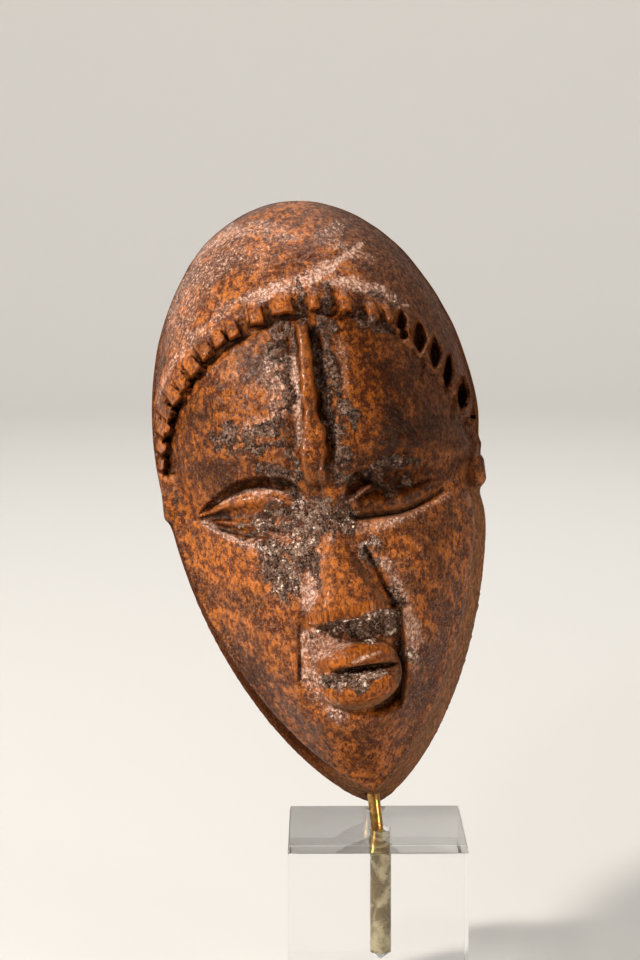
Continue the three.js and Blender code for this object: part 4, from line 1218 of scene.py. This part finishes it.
def make_rod():
    foot = Vector((BORE_X, 0, BLOCK_SIDE - ROD_IN_BLOCK))
    mouth = Vector((ROD_AT_MOUTH_X, 0, BLOCK_SIDE))
    top = on_mask_axis(CHIN_AT_ROD + ROD_IN_CHIN)
    below = mouth.lerp(foot, ROD_BEND / ROD_IN_BLOCK)
    above = mouth + (top - mouth).normalized() * ROD_BEND
    path = [foot.lerp(below, step / 10) for step in range(10)]
    path += [below.lerp(mouth, t).lerp(mouth.lerp(above, t), t) for t in np.linspace(0, 1, 9)]
    path += [above.lerp(top, step / 10) for step in range(1, 11)]
    start, end = path[1] - path[0], path[-1] - path[-2]
    rings = [ring_at(path[0], start, ROD_RADIUS - ROD_CHAMFER)]
    rings.append(ring_at(path[0] + start.normalized() * ROD_CHAMFER, start, ROD_RADIUS))
    for before, here, after in zip(path, path[1:], path[2:]):
        rings.append(ring_at(here, after - before, ROD_RADIUS))
    rings.append(ring_at(path[-1] - end.normalized() * ROD_CHAMFER, end, ROD_RADIUS))
    rings.append(ring_at(path[-1], end, ROD_RADIUS - ROD_CHAMFER))
    return rings_to_mesh("brass_rod", rings)


rod = make_rod()
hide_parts("rod")
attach(rod, "root")


def make_block():
    """The cube with softly bevelled edges, and its bore as part of the same skin."""
    corner = BLOCK_SIDE / 2 - BLOCK_BEVEL
    square = np.array([(-1, -1), (1, -1), (1, 1), (-1, 1)]) * corner
    sides = zip(square, np.roll(square, -1, axis=0))
    rim = [np.linspace(start, end, BLOCK_DIVISIONS, endpoint=False) for start, end in sides]
    rim = np.concatenate(rim)
    ways = np.sign(np.where(np.abs(rim) > corner - 1e-6, rim, 0))
    ways *= BLOCK_BEVEL / np.linalg.norm(ways, axis=1)[:, None]
    turns = np.linspace(0, math.pi / 2, 5)
    bevel = [(math.sin(angle), BLOCK_BEVEL * (1 - math.cos(angle))) for angle in turns]
    levels = [(rim + ways * out, inset) for out, inset in bevel]
    levels += [(rim + ways * out, BLOCK_SIDE - inset) for out, inset in bevel[::-1]]
    angles = np.arctan2(rim[:, 1], rim[:, 0])
    round_rim = BORE_RADIUS * np.stack([np.cos(angles), np.sin(angles)], axis=1)
    levels += [(round_rim * width + [BORE_X, 0], BLOCK_SIDE - depth) for width, depth in BORE_STEPS]
    rings = [[(x, y, height) for x, y in places] for places, height in levels]
    return rings_to_mesh("clear_block", rings, smooth=False)


block = make_block()
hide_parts("base_block")
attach(block, "root")


def make_glue():
    """The cloudy glue that fills the bore below its mouth, with a gap at the top beside the rod."""
    rng = np.random.default_rng(3)
    radius = BORE_RADIUS + GLUE_OVERLAP
    levels = [(BORE_DEPTH + BORE_TIP - GLUE_LIFT, 0.06)]
    levels += [(depth, radius) for depth in np.linspace(BORE_DEPTH - GLUE_LIFT, GLUE_TOP, GLUE_LEVELS)]
    rings = [ring_at((BORE_X, 0, BLOCK_SIDE - depth), (0, 0, 1), width) for depth, width in levels]
    for point in rings[-1]:
        slope = 0.5 * (point.x - BORE_X) / radius
        point.z += 0.1 - slope + 0.08 * rng.random()
    rings.append([Vector((BORE_X - 0.1 + (p.x - BORE_X) * 0.5, p.y * 0.5, p.z - 0.3)) for p in rings[-1]])
    return rings_to_mesh("cloudy_glue", rings)


glue = make_glue()
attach(glue, "root")


# Materials

class Nodes:
    """Short ways to put a node material together."""

    def __init__(self, name):
        self.material = bpy.data.materials.new(name)
        self.material.use_nodes = True
        self.tree = self.material.node_tree
        self.shader = self.tree.nodes["Principled BSDF"]
        self.upright_places = None

    def put(self, kind, inputs=None, **settings):
        node = self.tree.nodes.new(kind)
        for key, value in settings.items():
            setattr(node, key, value)
        for key, value in (inputs or {}).items():
            self.feed(node.inputs[key], value)
        return node

    def feed(self, socket, value):
        if isinstance(value, bpy.types.NodeSocket):
            self.tree.links.new(value, socket)
        else:
            socket.default_value = value

    def trait(self, name):
        return self.put("ShaderNodeAttribute", attribute_name=name, attribute_type="GEOMETRY").outputs["Fac"]

    def places(self, stretch):
        """Millimetres along the mask's own axes, stretched."""
        if self.upright_places is None:
            coordinates = self.put("ShaderNodeTexCoord").outputs["Object"]
            inputs = {"Vector": coordinates, "Rotation": tuple(turned.inverted().to_euler())}
            self.upright_places = self.put("ShaderNodeMapping", inputs).outputs["Vector"]
        inputs = {"Vector": self.upright_places, "Scale": tuple(value / MM for value in stretch)}
        return self.put("ShaderNodeMapping", inputs).outputs["Vector"]

    def noise(self, scale, detail=4, roughness=0.55, stretch=(1, 1, 1), distortion=0.0):
        inputs = {"Vector": self.places(stretch), "Scale": scale, "Detail": detail}
        inputs.update({"Roughness": roughness, "Distortion": distortion})
        return self.put("ShaderNodeTexNoise", inputs).outputs["Fac"]

    def between(self, value, low, high, to_low=0.0, to_high=1.0):
        inputs = dict(enumerate((value, low, high, to_low, to_high)))
        return self.put("ShaderNodeMapRange", inputs, interpolation_type="SMOOTHSTEP").outputs[0]

    def sum(self, operation, a, b, clamp=False):
        return self.put("ShaderNodeMath", {0: a, 1: b}, operation=operation, use_clamp=clamp).outputs[0]

    def times(self, a, b):
        return self.sum("MULTIPLY", a, b)

    def plus(self, a, b, clamp=False):
        return self.sum("ADD", a, b, clamp)

    def minus(self, a, b, clamp=False):
        return self.sum("SUBTRACT", a, b, clamp)

    def larger(self, a, b):
        return self.sum("MAXIMUM", a, b)

    def mix(self, share, a, b, blend="MIX"):
        inputs = {0: share, 6: a, 7: b}
        return self.put("ShaderNodeMix", data_type="RGBA", blend_type=blend, inputs=inputs).outputs[2]

    def blend(self, source, low, high, start, end):
        """One colour where a value is low and another where it is high."""
        return self.mix(self.between(source, low, high), rgb(*start), rgb(*end))

    def layered(self, colour, *layers):
        """Colours laid over one, each as (a value, its low and high, the share at each, the colour)."""
        for source, low, high, at_low, at_high, over in layers:
            colour = self.mix(self.between(source, low, high, at_low, at_high), colour, rgb(*over))
        return colour

    def bump(self, height, distance, strength=1.0, normal=None):
        inputs = {"Height": height, "Distance": distance * MM, "Strength": strength}
        if normal is not None:
            inputs["Normal"] = normal
        return self.put("ShaderNodeBump", inputs).outputs["Normal"]

    def set(self, **values):
        for key, value in values.items():
            self.feed(self.shader.inputs[key.replace("_", " ")], value)


def rgb(red, green, blue):
    """A colour given as it looks on a screen, from 0 to 255."""
    linear = []
    for value in (red, green, blue):
        share = value / 255
        linear.append(share / 12.92 if share <= 0.04045 else ((share + 0.055) / 1.055) ** 2.4)
    return (*linear, 1.0)


# How much of each colour the painted shade and the oiled wood let through, and the tint of their gloss
PAINTED_SHADE_TINT = (0.13, 0.085, 0.065, 1.0)
OIL_TINT = (0.7, 0.63, 0.56, 1.0)
WARM_GLOSS = (1.0, 0.85, 0.7, 1.0)


def wood_material():
    n = Nodes("old_oiled_wood")
    trait = {name: n.trait(name) for name in traits}
    broad = n.noise(0.13, 3, 0.5)
    patch = n.noise(0.32, 6, 0.7, stretch=(1, 0.8, 1))
    mottle = n.noise(0.8, 8, 0.75, stretch=(1, 0.75, 1))
    small = n.noise(1.9, 6, 0.8, stretch=(1, 0.6, 1))
    speck = n.noise(3.6, 5, 0.8)
    fine = n.noise(1.9, 6, 0.8)
    lump = n.noise(0.85, 2, 0.5)
    fibre = n.noise(1.9, 3, 0.7, stretch=(1, 0.08, 1))
    # The patina: orange wood under worn brown, dark where stained, with dark and bright flecks
    age = n.plus(patch, n.times(trait["stain"], 0.14))
    age = n.minus(age, n.times(trait["ember"], 0.16))
    dark_patch = n.plus(broad, n.times(trait["stain"], 0.16))
    colour = n.layered(
        n.blend(mottle, 0.45, 0.55, (214, 126, 50), (106, 50, 19)),
        (age, 0.48, 0.6, 0, 0.8, (78, 34, 14)),
        (dark_patch, 0.52, 0.68, 0, 0.7, (56, 24, 10)),
        (small, 0.51, 0.58, 0, 0.62, (52, 22, 9)),
        (small, 0.38, 0.44, 0.45, 0, (222, 152, 80)),
        (speck, 0.57, 0.62, 0, 0.8, (24, 9, 4)),
        (speck, 0.35, 0.4, 0.5, 0, (232, 182, 148)),
    )
    fibres = n.times(trait["ends"], n.between(fibre, 0.49, 0.56))
    colour = n.mix(n.times(trait["ends"], 0.65), colour, rgb(206, 116, 38))
    colour = n.mix(n.times(fibres, 0.75), colour, rgb(60, 22, 8))
    # A faint pinkish film of dust and painted sheen, kept off polished wood, painted shade and end grain
    bare_share = n.plus(n.times(trait["ember"], 0.5), n.plus(trait["painted_shade_and_patina"], trait["ends"]))
    dust_and_sheen_film = n.minus(0.46, n.times(bare_share, 0.7), clamp=True)
    colour = n.mix(n.times(dust_and_sheen_film, n.between(fine, 0.5, 0.62)), colour, rgb(206, 154, 130))
    # Worn edges cleaner, and painted shade darkening the hollows, less where the orange wood shows best
    worn = n.times(trait["raised"], n.between(small, 0.46, 0.58, 0.8, 0.25))
    colour = n.mix(worn, colour, n.mix(trait["ember"], rgb(172, 100, 42), rgb(186, 102, 32)))
    painted_hollow_shade = n.times(trait["cavity"], n.between(trait["ember"], 0.6, 1.0, 0.9, 0.25))
    colour = n.mix(painted_hollow_shade, colour, rgb(18, 8, 5))
    # Painted shade, with the darker patina on the forehead, multiplies the colour down
    colour = n.mix(n.times(trait["painted_shade_and_patina"], 0.85), colour, PAINTED_SHADE_TINT, "MULTIPLY")
    # The dull right side, painted shade and painted reflection over thinner patina, and the side wall
    dull_and_shaded = n.blend(small, 0.42, 0.58, (124, 84, 62), (52, 28, 18))
    colour = n.mix(n.times(trait["dull_and_shaded"], 0.75), colour, dull_and_shaded)
    bare = n.blend(small, 0.42, 0.6, (170, 136, 110), (108, 76, 56))
    colour = n.mix(n.times(trait["wall"], 0.9), colour, bare)
    inner = n.blend(small, 0.4, 0.62, (150, 102, 62), (78, 46, 28))
    colour = n.mix(trait["hollow"], colour, inner)
    colour = n.mix(1.0, colour, OIL_TINT, "MULTIPLY")
    # Dust caught in streaks, with painted highlights and sheen, a pale halo round the crust, and the crust's
    # own ground
    cover = n.times(trait["dust_and_highlights"], 0.24)
    dust_and_highlight_cover = n.between(fine, n.minus(0.62, cover), n.minus(0.7, cover))
    dust_and_highlight_cover = n.times(dust_and_highlight_cover, n.between(trait["dust_and_highlights"], 0.02, 0.3))
    dust_and_highlight_cover = n.larger(n.times(trait["dust_and_highlights"], 0.3), dust_and_highlight_cover)
    pale = n.blend(small, 0.42, 0.56, (228, 192, 172), (146, 98, 76))
    colour = n.mix(n.times(dust_and_highlight_cover, 0.85), colour, pale)
    halo = n.times(n.between(trait["crust"], 0.02, 0.35), n.between(fine, 0.44, 0.56))
    halo = n.times(halo, n.minus(0.55, trait["painted_shade_and_patina"], clamp=True))
    colour = n.mix(halo, colour, rgb(176, 138, 120))
    clod = n.noise(1.3, 6, 0.8)
    earth = n.blend(clod, 0.46, 0.58, (160, 130, 112), (38, 25, 18))
    earth = n.layered(earth, (mottle, 0.54, 0.64, 0, 0.6, (96, 48, 22)))
    ragged = n.between(small, 0.35, 0.65, -0.3, 0.3)
    earthy = n.between(n.plus(trait["crust"], ragged), 0.25, 0.6)
    colour = n.mix(earthy, colour, earth)
    # Gloss and fine relief, with a rippled coat of old polish on what stands out
    gloss = n.between(mottle, 0.44, 0.56, 0.2, 0.36)
    matte = n.larger(earthy, n.larger(trait["hollow"], n.times(trait["wall"], 0.8)))
    matte = n.larger(matte, n.times(trait["dull_and_shaded"], 0.6))
    rough = n.plus(gloss, n.times(matte, 0.45), clamp=True)
    height = n.minus(lump, n.times(small, 0.2))
    height = n.minus(height, n.times(speck, 0.05))
    height = n.minus(height, n.times(fibres, 0.16))
    normal = n.bump(height, 0.42)
    grit = n.times(n.times(clod, -1.0), earthy)
    normal = n.bump(grit, 0.6, normal=normal)
    n.set(Base_Color=colour, Roughness=rough, Normal=normal)
    polish = n.plus(n.times(trait["raised"], 0.55), 0.07)
    unpolished = n.plus(n.plus(matte, trait["rim"]), n.times(trait["painted_shade_and_patina"], 0.8))
    polish = n.times(polish, n.minus(1.0, unpolished, clamp=True))
    ripple = n.noise(0.7, 1, 0.5)
    n.set(Coat_Weight=polish, Coat_Roughness=0.2, Coat_Normal=n.bump(ripple, 0.4))
    n.set(Specular_IOR_Level=n.between(trait["rim"], 0.1, 0.7, 0.15, 0.0), Specular_Tint=WARM_GLOSS)
    return n.material


def crust_material():
    n = Nodes("earthy_crust")
    tone = n.trait("tone")
    patch = n.noise(0.9, 4, 0.65)
    colour = n.layered(
        n.blend(tone, 0.2, 0.75, (38, 26, 21), (166, 136, 120)),
        (tone, 0.66, 0.9, 0, 1, (244, 220, 200)),
        (patch, 0.46, 0.6, 0, 0.7, (116, 64, 34)),
    )
    normal = n.bump(n.noise(5, 4, 0.7), 0.12, 0.8)
    n.set(Base_Color=colour, Roughness=n.between(tone, 0, 1, 0.5, 0.8), Normal=normal)
    n.set(Specular_IOR_Level=0.25, Specular_Tint=WARM_GLOSS)
    return n.material


def brass_material():
    n = Nodes("aged_brass")
    wear = n.noise(0.8, 4, 0.6, stretch=(1, 1, 0.3))
    colour = n.blend(wear, 0.4, 0.65, (196, 152, 84), (122, 86, 44))
    rough = n.between(wear, 0.35, 0.7, 0.22, 0.45)
    normal = n.bump(n.noise(6, 2, 0.5, stretch=(1, 1, 0.2)), 0.02, 0.5)
    n.set(Base_Color=colour, Metallic=1.0, Roughness=rough, Normal=normal)
    return n.material


def acrylic_material():
    n = Nodes("clear_acrylic")
    n.set(Base_Color=(0.97, 0.975, 0.98, 1.0), Roughness=0.0, IOR=1.49, Transmission_Weight=1.0)
    return n.material


def glue_material():
    n = Nodes("cloudy_glue")
    cloud = n.noise(0.35, 4, 0.6, distortion=0.6)
    dark = n.noise(0.8, 3, 0.6)
    colour = n.blend(cloud, 0.4, 0.62, (120, 100, 62), (196, 182, 144))
    colour = n.layered(colour, (dark, 0.58, 0.7, 0, 0.8, (66, 50, 26)))
    normal = n.bump(dark, 0.3, 0.8)
    n.set(Base_Color=colour, Roughness=0.35, Normal=normal)
    return n.material


dressing = [
    (glue, glue_material), (mask, wood_material), (crust_piece, crust_material), (rod, brass_material),
    (block, acrylic_material),
]
for piece, make_material in dressing:
    piece.data.materials.append(make_material())


# The studio: a round pale floor that curves up all round, soft lamps and the camera

# The floor's flat reach, its bend, its closed middle, its gap under the block, and the wall's top
FLOOR_REACH = 1100
FLOOR_BEND = 500
FLOOR_MIDDLE = 1
FLOOR_DROP = 0.1
WALL_TOP = 1900
STUDIO_SIDES = 96


def make_studio():
    angles = np.linspace(math.pi / 2, 0, 13)
    profile = [(FLOOR_REACH + FLOOR_BEND, WALL_TOP)]
    profile += [(FLOOR_REACH + FLOOR_BEND * math.sin(a), FLOOR_BEND * (1 - math.cos(a))) for a in angles]
    profile.append((FLOOR_MIDDLE, 0))
    rings = [ring_at((0, 0, z - FLOOR_DROP), (0, 0, 1), radius, STUDIO_SIDES) for radius, z in profile]
    studio = rings_to_mesh("studio", rings, close_start=False)
    n = Nodes("studio_paper")
    n.set(Base_Color=rgb(214, 211, 206), Roughness=0.85)
    studio.data.materials.append(n.material)


make_studio()


def add_lamp(name, place, aim, size, power, colour=(1, 1, 1)):
    data = bpy.data.lights.new(name, "AREA")
    data.shape = "SQUARE"
    data.size = size
    data.energy = power
    data.color = colour
    lamp = bpy.data.objects.new(name, data)
    lamp.location = place
    lamp.rotation_mode = "QUATERNION"
    lamp.rotation_quaternion = (aim - place).to_track_quat("-Z", "Y")
    bpy.context.scene.collection.objects.link(lamp)


# Lamps aimed at the mask, as (name, azimuth, elevation, distance, size, power, colour). Azimuth 0 is in
# front of the face and grows to the right
LAMPS = [
    ("key", -56, 30, 0.85, 0.11, 9.2, (1.0, 0.96, 0.91)),
    ("spark", -30, 28, 0.6, 0.06, 0.5, (1.0, 0.97, 0.93)),
    ("fill", 48, 4, 0.9, 0.2, 2.1, (1.0, 0.88, 0.74)),
    ("top", 165, 62, 0.9, 0.5, 0.8, (1.0, 1.0, 1.0)),
]
LAMP_AIM = Vector((0, 0, 0.085))
for name, azimuth, elevation, distance, size, power, colour in LAMPS:
    a, e = math.radians(azimuth), math.radians(elevation)
    way = Vector((math.sin(a) * math.cos(e), -math.cos(a) * math.cos(e), math.sin(e)))
    add_lamp(name, LAMP_AIM + way * distance, LAMP_AIM, size, power, colour)
# This one is aimed at the paper behind the object
add_lamp("backdrop", Vector((0, 0.35, 1.1)), Vector((0, 1.55, 0.15)), 0.8, 11)

world = bpy.data.worlds.new("studio_air")
world.use_nodes = True
air = world.node_tree.nodes["Background"]
air.inputs["Color"].default_value = (0.9, 0.92, 0.95, 1.0)
air.inputs["Strength"].default_value = 0.08
bpy.context.scene.world = world
bpy.context.scene.view_settings.view_transform = "Standard"

# The camera, at the photograph's viewing angle
CAMERA_PLACE = (-9.44, -378.0, 137.08)
CAMERA_DOWN = math.radians(7.07)
CAMERA_ROLL = math.radians(-0.19)
camera_data = bpy.data.cameras.new("camera")
camera_data.sensor_width = 36
camera_data.lens = 85
camera_data.clip_start = 0.01
camera_data.clip_end = 20
camera = bpy.data.objects.new("camera", camera_data)
tilt = Matrix.Rotation(math.pi / 2 - CAMERA_DOWN, 4, "X") @ Matrix.Rotation(CAMERA_ROLL, 4, "Z")
camera.matrix_world = Matrix.Translation(Vector(CAMERA_PLACE) * MM) @ tilt
bpy.context.scene.collection.objects.link(camera)
bpy.context.scene.camera = camera

bpy.context.view_layer.update()
